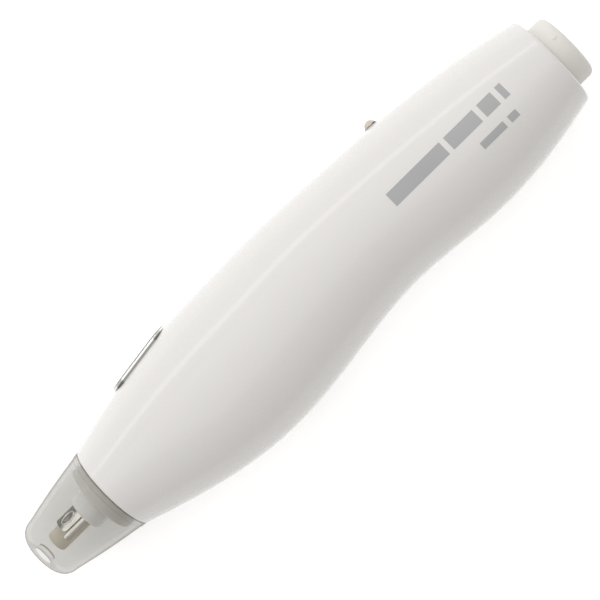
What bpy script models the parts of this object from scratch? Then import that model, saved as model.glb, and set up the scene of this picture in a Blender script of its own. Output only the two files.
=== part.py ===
"""Cordless electric eraser: a hollow two-half body with a motor, a spinning eraser holder under a clear cap,
a push button, a lamp, two cells and a plugged tail magazine. Metres. X runs from the cap's end to the tail,
Y points to the button, Z is up as the eraser lies on its battery door side."""

import math

import bmesh
import bpy
import numpy as np

# Clearances and walls
GAP = 0.0003
RUNNING_GAP = 0.0001
WALL = 0.0016
RIB = 0.0016

# Body
BODY_LENGTH = 0.1244
BODY_WIDTH = 0.0337
BODY_DEPTH = 0.028
NOSE_RADIUS = 0.0102
TAIL_RADIUS = 0.0107
TAIL_DROP = 0.0009
TAIL_WALL = 0.0022
EDGE_ROUND = 0.0005
SMALL_EDGE = 0.0004
PAST = 0.001
# Sections along the body: share of the length, then the rise to the button side, the fall to the other side
# and the half depth, as shares of the width and of the depth.
SECTIONS = (
    (0.129, 0.412, 0.439, 0.448),
    (0.260, 0.475, 0.513, 0.493),
    (0.358, 0.490, 0.504, 0.500),
    (0.456, 0.496, 0.457, 0.484),
    (0.603, 0.475, 0.404, 0.464),
    (0.766, 0.436, 0.448, 0.463),
    (0.913, 0.362, 0.409, 0.430),
)
SECTION_STEPS = 22
HALF_STEPS = 14

# Cap
CAP_LENGTH = 0.0206
CAP_WALL = 0.0011
CAP_END_WALL = 0.0015
CAP_END_RADIUS = 0.0070
CAP_END_FILLET = 0.0035
CAP_VENT_RADIUS = 0.0021
CAP_RIM_LENGTH = 0.0010
CAP_RIM_HEIGHT = 0.00012
SPIGOT_LENGTH = 0.0037

# Eraser refill, chuck and spindle
REFILL_RADIUS = 0.0023
REFILL_LENGTH = 0.022
REFILL_START = 0.0039
CHUCK_START = 0.0074
CHUCK_LENGTH = 0.011
CHUCK_WALL = 0.0008
CHUCK_SLIT = 0.0006
CHUCK_WINDOW_SHARE = 0.35
CHUCK_WINDOW_TURN = 0.25
SPINDLE_START = 0.0125
SPINDLE_RADIUS = 0.0041
SPINDLE_TIP_WALL = 0.0007
SPINDLE_TAPER = 0.0045
SPINDLE_COLLAR_RADIUS = 0.0056
SPINDLE_COLLAR = 0.0015
SPINDLE_TAIL = 0.0065
SPINDLE_ROOM = 0.0026
BUSHING_WALL = 0.0018
BUSHING_LENGTH = 0.0052
BUSHING_INSET = 0.0012
WASHER_THICKNESS = 0.0006

# Motor
MOTOR_RADIUS = 0.00775
MOTOR_LENGTH = 0.0245
MOTOR_AHEAD = 0.0032
MOTOR_WALL = 0.0008
MOTOR_BOSS_RADIUS = 0.003
MOTOR_BOSS_LENGTH = 0.0012
END_CAP_THICKNESS = 0.0022
SHAFT_RADIUS = 0.001
SHAFT_GRIP = 0.004
MAGNET_THICKNESS = 0.0016
MAGNET_ANGLE = 1.9
ARMATURE_LENGTH = 0.011
ARMATURE_AHEAD = 0.003
GROOVE_SHARE = 0.92
GROOVE_RADIUS_SHARE = 0.3
COMMUTATOR_RADIUS = 0.0023
COMMUTATOR_LENGTH = 0.0035
TERMINAL_LENGTH = 0.0028
TERMINAL_SPREAD = 0.0045
TERMINAL_HALF_WIDTH = 0.001
TERMINAL_HALF_THICKNESS = 0.0003
WIRE_ROOM_RADIUS = 0.003
SADDLE_FROM_FRONT = 0.002
SADDLE_FROM_BACK = 0.005

# Button, switch and lamp
BUTTON_FROM_SHOULDER = BODY_LENGTH * 0.18167
BEZEL_LENGTH = 0.017
BEZEL_WIDTH = 0.0086
BEZEL_BAND = 0.0014
BEZEL_PROUD = 0.0003
BEZEL_HEIGHT = 0.0018
BUTTON_PROUD = 0.0001
BUTTON_FLANGE = 0.0006
BUTTON_TRAVEL = 0.0005
PLUNGER_RADIUS = 0.0011
PLUNGER_HEIGHT = 0.0008
SWITCH_SIDE = 0.0058
SWITCH_HEIGHT = 0.0014
BOARD_LENGTH = 0.0118
BOARD_WIDTH = 0.0078
BOARD_THICKNESS = 0.0006
LAMP_FROM_TAIL = 0.035
LAMP_RADIUS = 0.0015
LAMP_PROUD = 0.0013
LAMP_FLANGE_RADIUS = 0.0019
LAMP_FLANGE = 0.0007

# Cells and their tray
CELL_RADIUS = 0.00525
CELL_LENGTH = 0.0445
CELL_NUB_RADIUS = 0.0019
CELL_NUB = 0.0008
CELL_PITCH = 0.0109
CELL_DROP = 0.003
CELL_SIDE = 0.0005
SPRING_SPACE = 0.003
SPRING_RADIUS = CELL_RADIUS * 0.533
SPRING_WIRE = 0.00022
SPRING_TURNS = 2
SPRING_STEPS = 12
CONTACT_THICKNESS = 0.0004
CONTACT_HALF_WIDTH = CELL_RADIUS * 0.8
TRAY_WALL = 0.0012
TRAY_SIDE = 0.0004
TRAY_AHEAD = 0.0024
DOOR_FROM_TRAY_END = 0.001
DOOR_HALF_WIDTH = 0.0085

# Magazine and tail plug
MAGAZINE_LENGTH = 0.0200
MAGAZINE_WALL = 0.0010
PLUG_RADIUS = 0.00765
PLUG_HEAD = 0.0043
PLUG_ROUND = 0.0012
PLUG_WALL = 0.0012
SHANK_LENGTH = 0.0072
SEAL_RADIUS = 0.0004
SPARE_COUNT = 3
MAGAZINE_BORE = 0.0069

# Screws
SCREW_RADIUS = 0.001
SCREW_HEAD_RADIUS = 0.0018
SCREW_HEAD = 0.0013
SCREW_LENGTH = 0.0075
SCREW_SLOT = 0.0004
SCREW_HEAD_COVER = 0.0022
SCREW_LOWER_SHARE = 0.55
FRONT_SCREW_BEHIND = 0.004
FRONT_SCREW_Y = 0.0078
MIDDLE_SCREW_BEHIND = 0.0026
MIDDLE_SCREW_Y = 0.0118
BOSS_WALL = 0.0011
BOSS_TO_SKIN = 0.0009

SHOULDER = CAP_LENGTH
TAIL = SHOULDER + BODY_LENGTH
FULL_LENGTH = TAIL + GAP + PLUG_HEAD

COLOURS = {
    "white": ((0.86, 0.855, 0.84), 0.22, 0.0),
    "clear": ((0.72, 0.71, 0.68), 0.08, 0.0),
    "chrome": ((0.80, 0.80, 0.80), 0.12, 1.0),
    "steel": ((0.55, 0.55, 0.56), 0.35, 1.0),
    "bronze": ((0.50, 0.33, 0.15), 0.45, 1.0),
    "copper": ((0.72, 0.36, 0.18), 0.35, 1.0),
    "magnet": ((0.07, 0.07, 0.07), 0.70, 0.0),
    "eraser": ((0.42, 0.40, 0.31), 0.85, 0.0),
    "ivory": ((0.78, 0.76, 0.71), 0.55, 0.0),
    "black": ((0.03, 0.03, 0.03), 0.50, 0.0),
    "board": ((0.05, 0.22, 0.09), 0.50, 0.0),
    "lamp": ((0.80, 0.72, 0.55), 0.10, 0.0),
    "cell": ((0.10, 0.16, 0.32), 0.35, 0.0),
    "rubber": ((0.05, 0.05, 0.05), 0.80, 0.0),
}


def clear_scene():
    for obj in list(bpy.data.objects):
        bpy.data.objects.remove(obj, do_unlink=True)


def new_collection(name):
    collection = bpy.data.collections.new(name)
    bpy.context.scene.collection.children.link(collection)
    return collection


clear_scene()
PARTS = new_collection("electric_eraser")
CUTTERS = new_collection("cutters")
CUTTERS.hide_render = True


# The body's outline

def outline(x):
    """Rise, fall and half depth of the body at x, by a Catmull-Rom curve through its sections."""
    nose = (0.0, NOSE_RADIUS, NOSE_RADIUS, NOSE_RADIUS)
    tail = (1.0, TAIL_RADIUS - TAIL_DROP, TAIL_RADIUS + TAIL_DROP, TAIL_RADIUS)
    middle = [(s, a * BODY_WIDTH, b * BODY_WIDTH, c * BODY_DEPTH) for s, a, b, c in SECTIONS]
    rows = np.array([nose, *middle, tail])
    share = min(max((x - SHOULDER) / BODY_LENGTH, 0.0), 1.0)
    slopes = np.gradient(rows[:, 1:], rows[:, 0], axis=0)
    k = min(int(np.searchsorted(rows[:, 0], share, side="right")) - 1, len(rows) - 2)
    span = rows[k + 1, 0] - rows[k, 0]
    t = (share - rows[k, 0]) / span
    value = (
        (2 * t**3 - 3 * t**2 + 1) * rows[k, 1:]
        + (t**3 - 2 * t**2 + t) * span * slopes[k]
        + (3 * t**2 - 2 * t**3) * rows[k + 1, 1:]
        + (t**3 - t**2) * span * slopes[k + 1]
    )
    return tuple(float(v) for v in value)


def section(x, inset=0.0):
    """A ring of the body at x: x, centre y, half width and half depth, set in from the skin."""
    rise, fall, half_depth = outline(x)
    return (x, (rise - fall) / 2, (rise + fall) / 2 - inset, half_depth - inset)


def skin_depth(x, y, inset=0.0):
    """Half depth of the body at the point (x, y)."""
    _, centre, half_width, half_depth = section(x, inset)
    return half_depth * math.sqrt(max(0.0, 1 - ((y - centre) / half_width) ** 2))


STATIONS = [SHOULDER + BODY_LENGTH * i / SECTION_STEPS for i in range(SECTION_STEPS + 1)]
TOP = max(outline(x)[0] for x in STATIONS)
BOTTOM = max(outline(x)[1] for x in STATIONS)
DEPTH = max(outline(x)[2] for x in STATIONS)

FRAME = bpy.data.objects.new("eraser_frame", None)
FRAME.location = (-FULL_LENGTH / 2, (BOTTOM - TOP) / 2, DEPTH)
PARTS.objects.link(FRAME)


def empty(name, location, rotation=(0.0, 0.0, 0.0)):
    obj = bpy.data.objects.new(name, None)
    obj.location = location
    obj.rotation_euler = rotation
    obj.parent = FRAME
    PARTS.objects.link(obj)
    return obj


# Building tools

def material(slot):
    found = bpy.data.materials.get(slot)
    if found:
        return found
    colour, roughness, metallic = COLOURS[slot]
    made = bpy.data.materials.new(slot)
    made.use_nodes = True
    shader = made.node_tree.nodes["Principled BSDF"]
    shader.inputs["Base Color"].default_value = (*colour, 1.0)
    shader.inputs["Roughness"].default_value = roughness
    shader.inputs["Metallic"].default_value = metallic
    if slot == "clear":
        shader.inputs["Transmission Weight"].default_value = 0.9
    made.diffuse_color = (*colour, 1.0)
    return made


def add(name, data, slot=None, parent=None, location=(0, 0, 0), rotation=(0, 0, 0)):
    """Puts a mesh or curve in the scene: as a part where it has a slot, else as a cutter."""
    obj = bpy.data.objects.new(name, data)
    if slot:
        PARTS.objects.link(obj)
        data.materials.append(material(slot))
    else:
        CUTTERS.objects.link(obj)
        obj.hide_render = True
        obj.display_type = "WIRE"
    obj.parent = parent or FRAME
    obj.location = location
    obj.rotation_euler = rotation
    return obj


def mesh_of(bm, name):
    mesh = bpy.data.meshes.new(name)
    bmesh.ops.recalc_face_normals(bm, faces=bm.faces)
    bm.to_mesh(mesh)
    bm.free()
    mesh.shade_smooth()
    mesh.set_sharp_from_angle(angle=math.radians(35))
    return mesh


ALONG_X = (0.0, math.pi / 2, 0.0)


def turned(name, profile, slot=None, parent=None, location=(0, 0, 0), rotation=ALONG_X, steps=24):
    """A profile of (place along the axis, radius) turned about that axis. A profile that starts and ends on the
    axis is a solid, any other is closed into a ring."""
    points = [(radius, place) for place, radius in profile]
    area = sum(a[0] * b[1] - b[0] * a[1] for a, b in zip(points, points[1:] + points[:1]))
    if area > 0:
        points.reverse()
    ring = points[0][0] > 1e-9
    mesh = bpy.data.meshes.new(name)
    count = len(points)
    edges = [(i, (i + 1) % count) for i in range(count if ring else count - 1)]
    mesh.from_pydata([(x, 0.0, z) for x, z in points], edges, [])
    obj = add(name, mesh, slot, parent, location, rotation)
    screw = obj.modifiers.new("turn", "SCREW")
    screw.axis = "Z"
    screw.angle = 2 * math.pi
    screw.steps = steps
    screw.render_steps = steps
    screw.use_merge_vertices = True
    screw.merge_threshold = 0.000001
    screw.use_smooth_shade = True
    return obj


def box(name, low, high, slot=None, parent=None):
    bm = bmesh.new()
    bmesh.ops.create_cube(bm, size=1.0)
    for vert in bm.verts:
        for axis in range(3):
            vert.co[axis] = low[axis] if vert.co[axis] < 0 else high[axis]
    return add(name, mesh_of(bm, name), slot, parent)


def rod(name, radius, low, high, slot=None, parent=None, centre=(0.0, 0.0), axis="X", steps=20):
    """A plain cylinder from low to high along X, Y or Z, with its centre in the other two."""
    rotation = {"X": ALONG_X, "Y": (-math.pi / 2, 0, 0), "Z": (0, 0, 0)}[axis]
    location = {
        "X": (0, centre[0], centre[1]),
        "Y": (centre[0], 0, centre[1]),
        "Z": (centre[0], centre[1], 0),
    }[axis]
    profile = [(low, 0.0), (low, radius), (high, radius), (high, 0.0)]
    return turned(name, profile, slot, parent, location, rotation, steps)


def stadium(height, half_length, radius, steps=8):
    """A level ring with two straight sides and round ends."""
    straight = half_length - radius
    points = []
    for side in (1, -1):
        for i in range(steps + 1):
            angle = math.pi * i / steps - math.pi / 2
            x = side * (straight + radius * math.cos(angle))
            points.append((x, side * radius * math.sin(angle), height))
    return points


def ring_stack(name, rings, slot=None, parent=None, loop=False):
    """Skins rings of equal count. A loop returns to its first ring, any other stack is capped."""
    bm = bmesh.new()
    rows = [[bm.verts.new(point) for point in ring] for ring in rings]
    pairs = list(zip(rows, rows[1:]))
    if loop:
        pairs.append((rows[-1], rows[0]))
    else:
        bm.faces.new(rows[0])
        bm.faces.new(rows[-1])
    for lower, upper in pairs:
        for i in range(len(lower)):
            j = (i + 1) % len(lower)
            bm.faces.new((lower[i], lower[j], upper[j], upper[i]))
    return add(name, mesh_of(bm, name), slot, parent)


def combine(obj, other, operation):
    modifier = obj.modifiers.new(other.name, "BOOLEAN")
    modifier.operation = operation
    modifier.object = other
    modifier.solver = "EXACT"


def arc(centre, radius, start, end, steps):
    """Points (place, radius) on an arc, with angles from the axis direction."""
    angles = [start + (end - start) * i / steps for i in range(steps + 1)]
    return [(centre[0] + radius * math.cos(a), centre[1] + radius * math.sin(a)) for a in angles]


# Body halves

BUSHING_RADIUS = SPINDLE_RADIUS + RUNNING_GAP + BUSHING_WALL
SPIGOT_START = SHOULDER - SPIGOT_LENGTH
NOSE_BORE = BUSHING_RADIUS + GAP
BUSHING_START = SPIGOT_START + BUSHING_INSET
BUSHING_END = BUSHING_START + BUSHING_LENGTH
NOSE_WALL_END = BUSHING_END + GAP
WASHER_START = NOSE_WALL_END + GAP
COLLAR_START = WASHER_START + WASHER_THICKNESS + GAP
SPINDLE_END = COLLAR_START + SPINDLE_COLLAR + SPINDLE_TAIL
MOTOR_START = SPINDLE_END + MOTOR_AHEAD
MOTOR_END = MOTOR_START + MOTOR_LENGTH
SADDLES = (MOTOR_START + SADDLE_FROM_FRONT, MOTOR_END - SADDLE_FROM_BACK)
TRAY_START = MOTOR_END + TERMINAL_LENGTH + TRAY_AHEAD
CELL_START = TRAY_START + TRAY_WALL + SPRING_SPACE
TRAY_END = CELL_START + CELL_LENGTH + CELL_NUB + CONTACT_THICKNESS + 2 * GAP + TRAY_WALL
TRAY_Y = (section(TRAY_END)[1] + section((TRAY_START + TRAY_END) / 2)[1]) / 2
CELL_Z = -CELL_DROP
PLUG_Y = section(TAIL)[1]
SHANK_RADIUS = MAGAZINE_BORE - GAP
MAGAZINE_END = TAIL - TAIL_WALL - GAP
MAGAZINE_START = MAGAZINE_END - MAGAZINE_LENGTH
CAP_MOUTH_RADIUS = NOSE_RADIUS - CAP_RIM_HEIGHT
CAP_TAPER = (CAP_MOUTH_RADIUS - CAP_END_RADIUS) / (CAP_LENGTH - GAP - CAP_END_FILLET)
SPIGOT_RADIUS = CAP_END_RADIUS + CAP_TAPER * (SPIGOT_START - CAP_END_FILLET) - CAP_WALL - GAP
LAMP_X = TAIL - LAMP_FROM_TAIL
BUTTON_X = SHOULDER + BUTTON_FROM_SHOULDER
BUTTON_SLOPE = (outline(BUTTON_X + PAST)[0] - outline(BUTTON_X - PAST)[0]) / (2 * PAST)
BUTTON_TILT = math.atan(BUTTON_SLOPE)
LAMP_TOP = outline(LAMP_X)[0]
SCREWS = (
    (COLLAR_START + FRONT_SCREW_BEHIND, FRONT_SCREW_Y),
    (COLLAR_START + FRONT_SCREW_BEHIND, -FRONT_SCREW_Y),
    (MOTOR_END + MIDDLE_SCREW_BEHIND, MIDDLE_SCREW_Y),
    (MOTOR_END + MIDDLE_SCREW_BEHIND, -MIDDLE_SCREW_Y),
    ((TRAY_END + MAGAZINE_START) / 2, PLUG_Y),
)
BOSS_RADIUS = SCREW_RADIUS + GAP + BOSS_WALL


def round_section(x, radius, centre=0.0):
    return (x, centre, radius, radius)


def body_rings():
    """The skin from the spigot to the tail, then the hollow back to the nose, as one loop of rings."""
    rings = [round_section(SPIGOT_START, NOSE_BORE), round_section(SPIGOT_START, SPIGOT_RADIUS)]
    rings.append(round_section(SHOULDER, SPIGOT_RADIUS))
    rings.append(section(SHOULDER, EDGE_ROUND / 2))
    rings += [section(x) for x in (SHOULDER + EDGE_ROUND, *STATIONS[1:-1], TAIL - EDGE_ROUND)]
    rings.append(section(TAIL, EDGE_ROUND))
    rings.append(round_section(TAIL, MAGAZINE_BORE, PLUG_Y))
    rings.append(round_section(TAIL - TAIL_WALL, MAGAZINE_BORE, PLUG_Y))
    rings.append(section(TAIL - TAIL_WALL, WALL))
    inner = [x for x in STATIONS if NOSE_WALL_END + WALL < x < TAIL - TAIL_WALL - WALL]
    rings += [section(x, WALL) for x in reversed(inner)]
    rings.append(section(NOSE_WALL_END, WALL))
    rings.append(round_section(NOSE_WALL_END, NOSE_BORE))
    return rings


def half_solid(name, rings, side, slot=None, loop=True):
    """Sweeps rings round one half of the body. The flat at the joint stands half a gap off the middle."""
    bm = bmesh.new()
    rows = []
    for x, centre, half_width, half_depth in rings:
        row = []
        for i in range(HALF_STEPS + 1):
            angle = math.pi * i / HALF_STEPS
            z = GAP / 2 + (half_depth - GAP / 2) * math.sin(angle)
            row.append(bm.verts.new((x, centre + half_width * math.cos(angle), side * z)))
        rows.append(row)
    pairs = list(zip(rows, rows[1:]))
    if loop:
        pairs.append((rows[-1], rows[0]))
        bm.faces.new([row[0] for row in rows])
        bm.faces.new([row[-1] for row in rows])
    else:
        bm.faces.new([row[0] for row in rows] + [row[-1] for row in reversed(rows)])
        bm.faces.new(rows[0])
        bm.faces.new(rows[-1])
    for lower, upper in pairs:
        for i in range(HALF_STEPS):
            bm.faces.new((lower[i], lower[i + 1], upper[i + 1], upper[i]))
    return add(name, mesh_of(bm, name), slot)


def boss_height(x, y):
    centre = section(x)[1]
    outer_y = y + math.copysign(BOSS_RADIUS, y - centre)
    return skin_depth(x, outer_y) - BOSS_TO_SKIN


def button_point(height):
    """A point on the button's axis, height above the skin."""
    top = outline(BUTTON_X)[0]
    return (
        BUTTON_X - height * math.sin(BUTTON_TILT),
        top + height * math.cos(BUTTON_TILT),
        0.0,
    )


def make_bodies():
    button_hole = ring_stack(
        "button_hole",
        [stadium(z, BEZEL_LENGTH / 2 + GAP, BEZEL_WIDTH / 2 + GAP) for z in (-3 * PAST, 3 * PAST)],
        None,
        BUTTON_FRAME,
    )
    board_room = box(
        "board_room",
        (-BOARD_LENGTH / 2 - 3 * GAP, -BEZEL_WIDTH / 2 - GAP, -SWITCH_DEPTH - 2 * GAP),
        (BOARD_LENGTH / 2 + 3 * GAP, BEZEL_WIDTH / 2 + GAP, -WALL - GAP),
        None,
        BUTTON_FRAME,
    )
    lamp_hole = rod("lamp_hole", LAMP_RADIUS + GAP, 0.0, LAMP_TOP * 1.5, centre=(LAMP_X, 0.0), axis="Y")
    motor_room = rod("motor_room", MOTOR_RADIUS + GAP, NOSE_WALL_END + GAP, TRAY_START, steps=32)
    wire_room = rod("wire_room", WIRE_ROOM_RADIUS, MOTOR_START, TRAY_START, centre=(0.0, MOTOR_RADIUS))
    for name, side in (("upper_shell", 1), ("lower_shell", -1)):
        shell = half_solid(name, body_rings(), side, "white")
        for number, x in enumerate(SADDLES):
            slab = [section(x, WALL / 2), section(x + RIB, WALL / 2)]
            combine(shell, half_solid(f"{name}_saddle_{number}", slab, side, loop=False), "UNION")
        for number, (x, y) in enumerate(SCREWS):
            low, high = sorted((side * GAP / 2, side * boss_height(x, y)))
            boss = rod(f"{name}_boss_{number}", BOSS_RADIUS, low, high, centre=(x, y), axis="Z", steps=20)
            combine(shell, boss, "UNION")
        for cutter in (motor_room, button_hole, board_room, lamp_hole, wire_room):
            combine(shell, cutter, "DIFFERENCE")
        for number, (x, y) in enumerate(SCREWS):
            if side < 0:
                profile = screw_profile(x, y, GAP, DEPTH)
            else:
                depth = SCREW_LENGTH - screw_seat(x, y) + 2 * GAP
                radius = SCREW_RADIUS + GAP
                profile = [(-GAP, 0.0), (-GAP, radius), (depth, radius), (depth, 0.0)]
            hole = turned(f"{name}_hole_{number}", profile, None, None, (x, y, 0), (0, 0, 0), 20)
            combine(shell, hole, "DIFFERENCE")
        if side < 0:
            combine(shell, door_block("door_opening", 0.0), "DIFFERENCE")
    door = half_solid("battery_door", door_rings(), -1, "white")
    combine(door, door_block("door_edge", GAP), "INTERSECT")


def door_rings():
    """The skin and the hollow over the door's stretch only."""
    ends = (TRAY_START - 2 * PAST, TRAY_END + PAST)
    places = [ends[0], *[x for x in STATIONS if ends[0] < x < ends[1]], ends[1]]
    return [section(x) for x in places] + [section(x, WALL) for x in reversed(places)]


def door_block(name, inset):
    low = (TRAY_START + inset, TRAY_Y - DOOR_HALF_WIDTH + inset, -DEPTH - 2 * PAST)
    high = (
        TRAY_END - DOOR_FROM_TRAY_END - inset,
        TRAY_Y + DOOR_HALF_WIDTH - inset,
        CELL_Z - CELL_RADIUS / 2,
    )
    return box(name, low, high)


# Screws: they enter from the lower half and end in the upper one.

def screw_seat(x, y):
    """Depth below the joint plane where the head's underside sits."""
    return min(boss_height(x, y) - SCREW_HEAD_COVER, SCREW_LENGTH * SCREW_LOWER_SHARE)


def screw_profile(x, y, gap, head_end):
    """A screw along Z, from its head's outer end up to its tip. With a gap it is the hole for it."""
    seat = -screw_seat(x, y) - gap
    tip = SCREW_LENGTH - screw_seat(x, y)
    if gap:
        tip = gap
    return [
        (-head_end, 0.0),
        (-head_end, SCREW_HEAD_RADIUS + gap),
        (seat + gap, SCREW_HEAD_RADIUS + gap),
        (seat + gap, SCREW_RADIUS + gap),
        (tip, SCREW_RADIUS + gap),
        (tip, 0.0),
    ]


def make_screws():
    for number, (x, y) in enumerate(SCREWS):
        profile = screw_profile(x, y, 0.0, screw_seat(x, y) + SCREW_HEAD)
        profile = [(z - GAP, radius) for z, radius in profile]
        name = f"body_screw_{number + 1}"
        screw = turned(name, profile, "steel", None, (x, y, 0), (0, 0, 0), 16)
        slot = box(
            f"{name}_slot",
            (x - SCREW_HEAD_RADIUS, y - SCREW_SLOT / 2, -screw_seat(x, y) - 2 * SCREW_HEAD),
            (x + SCREW_HEAD_RADIUS, y + SCREW_SLOT / 2, -screw_seat(x, y) - SCREW_HEAD * 0.6),
        )
        combine(screw, slot, "DIFFERENCE")


# Cap

def make_cap():
    end = SHOULDER - GAP
    inner_fillet = CAP_END_FILLET - CAP_WALL
    outer = [(0.0, CAP_VENT_RADIUS)]
    outer += arc((CAP_END_FILLET, CAP_END_RADIUS - CAP_END_FILLET), CAP_END_FILLET, math.pi, math.pi / 2, 6)
    rim = end - CAP_RIM_LENGTH
    rim_radius = CAP_END_RADIUS + CAP_TAPER * (rim - CAP_END_FILLET)
    outer += [(rim, rim_radius), (rim + CAP_RIM_HEIGHT, rim_radius + CAP_RIM_HEIGHT)]
    outer += [(end, CAP_MOUTH_RADIUS + CAP_RIM_HEIGHT)]
    # The hollow: straight over the spigot, then tapering with the outside to the end wall.
    bore = SPIGOT_RADIUS + GAP
    start = CAP_END_WALL
    outer += [(end, bore), (SPIGOT_START - GAP, bore)]
    centre = (start + inner_fillet, CAP_END_RADIUS - CAP_WALL - inner_fillet)
    outer += arc(centre, inner_fillet, math.pi / 2, math.pi, 5)
    outer += [(start, CAP_VENT_RADIUS)]
    turned("cap", outer, "clear", CAP_FRAME, steps=36)


# Refill, chuck and spindle: all turned on the spindle's axis

CHUCK_BORE = REFILL_RADIUS + RUNNING_GAP
CHUCK_RADIUS = CHUCK_BORE + CHUCK_WALL
CHUCK_END = CHUCK_START + CHUCK_LENGTH


def make_spindle():
    bore = CHUCK_RADIUS + RUNNING_GAP
    refill_end = REFILL_START + REFILL_LENGTH
    step = CHUCK_END + GAP
    stop = refill_end + SPINDLE_ROOM
    collar_end = COLLAR_START + SPINDLE_COLLAR
    wall = SPINDLE_TIP_WALL
    profile = [
        (SPINDLE_START, bore),
        (SPINDLE_START, bore + wall * 0.6),
        (SPINDLE_START + wall * 0.4, bore + wall),
        (SPINDLE_START + SPINDLE_TAPER, SPINDLE_RADIUS),
        (COLLAR_START, SPINDLE_RADIUS),
        (COLLAR_START, SPINDLE_COLLAR_RADIUS),
        (collar_end, SPINDLE_COLLAR_RADIUS),
        (collar_end, SPINDLE_RADIUS),
        (SPINDLE_END, SPINDLE_RADIUS),
        (SPINDLE_END, SHAFT_RADIUS + RUNNING_GAP),
        (stop, SHAFT_RADIUS + RUNNING_GAP),
        (stop, CHUCK_BORE),
        (step, CHUCK_BORE),
        (step, bore),
    ]
    turned("spindle", profile, "white", SPINDLE_FRAME)
    edge = SMALL_EDGE
    sleeve = [
        (CHUCK_START, CHUCK_BORE),
        (CHUCK_START, CHUCK_RADIUS - edge / 2),
        (CHUCK_START + edge / 2, CHUCK_RADIUS),
        (CHUCK_END, CHUCK_RADIUS),
        (CHUCK_END, CHUCK_BORE),
    ]
    chuck = turned("chuck", sleeve, "chrome", SPINDLE_FRAME)
    jaw_length = SPINDLE_START - CHUCK_START - SMALL_EDGE
    slit = box(
        "chuck_slit",
        (CHUCK_START - PAST, -CHUCK_SLIT / 2, 0.0),
        (CHUCK_START + jaw_length, CHUCK_SLIT / 2, 2 * CHUCK_RADIUS),
        None,
        SPINDLE_FRAME,
    )
    window = box(
        "chuck_window",
        (CHUCK_START - PAST, CHUCK_RADIUS * CHUCK_WINDOW_SHARE, -2 * CHUCK_RADIUS),
        (CHUCK_START + jaw_length, 2 * CHUCK_RADIUS, CHUCK_RADIUS * CHUCK_WINDOW_SHARE),
        None,
        SPINDLE_FRAME,
    )
    window.rotation_euler[0] = -CHUCK_WINDOW_TURN
    combine(chuck, slit, "DIFFERENCE")
    combine(chuck, window, "DIFFERENCE")
    refill = [(REFILL_START, 0.0), (REFILL_START, REFILL_RADIUS - EDGE_ROUND)]
    refill += [(REFILL_START + EDGE_ROUND, REFILL_RADIUS), (refill_end, REFILL_RADIUS), (refill_end, 0.0)]
    turned("eraser_refill", refill, "eraser", REFILL_FRAME, steps=24)
    ring = [
        (BUSHING_START, SPINDLE_RADIUS + RUNNING_GAP),
        (BUSHING_START, BUSHING_RADIUS),
        (BUSHING_END, BUSHING_RADIUS),
        (BUSHING_END, SPINDLE_RADIUS + RUNNING_GAP),
    ]
    turned("nose_bushing", ring, "bronze")
    washer_end = WASHER_START + WASHER_THICKNESS
    washer = [
        (WASHER_START, SPINDLE_RADIUS + GAP),
        (WASHER_START, SPINDLE_COLLAR_RADIUS),
        (washer_end, SPINDLE_COLLAR_RADIUS),
        (washer_end, SPINDLE_RADIUS + GAP),
    ]
    turned("thrust_washer", washer, "steel", steps=24)


# Motor

def sector(name, inner, outer, start, end, angle, turn, slot, parent=None):
    """An arc-shaped block along X, angle wide, centred at turn."""
    rings = []
    steps = 8
    angles = [turn - angle / 2 + angle * i / steps for i in range(steps + 1)]
    for x in (start, end):
        ring = [(x, outer * math.cos(a), outer * math.sin(a)) for a in angles]
        ring += [(x, inner * math.cos(a), inner * math.sin(a)) for a in reversed(angles)]
        rings.append(ring)
    return ring_stack(name, rings, slot, parent)


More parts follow.
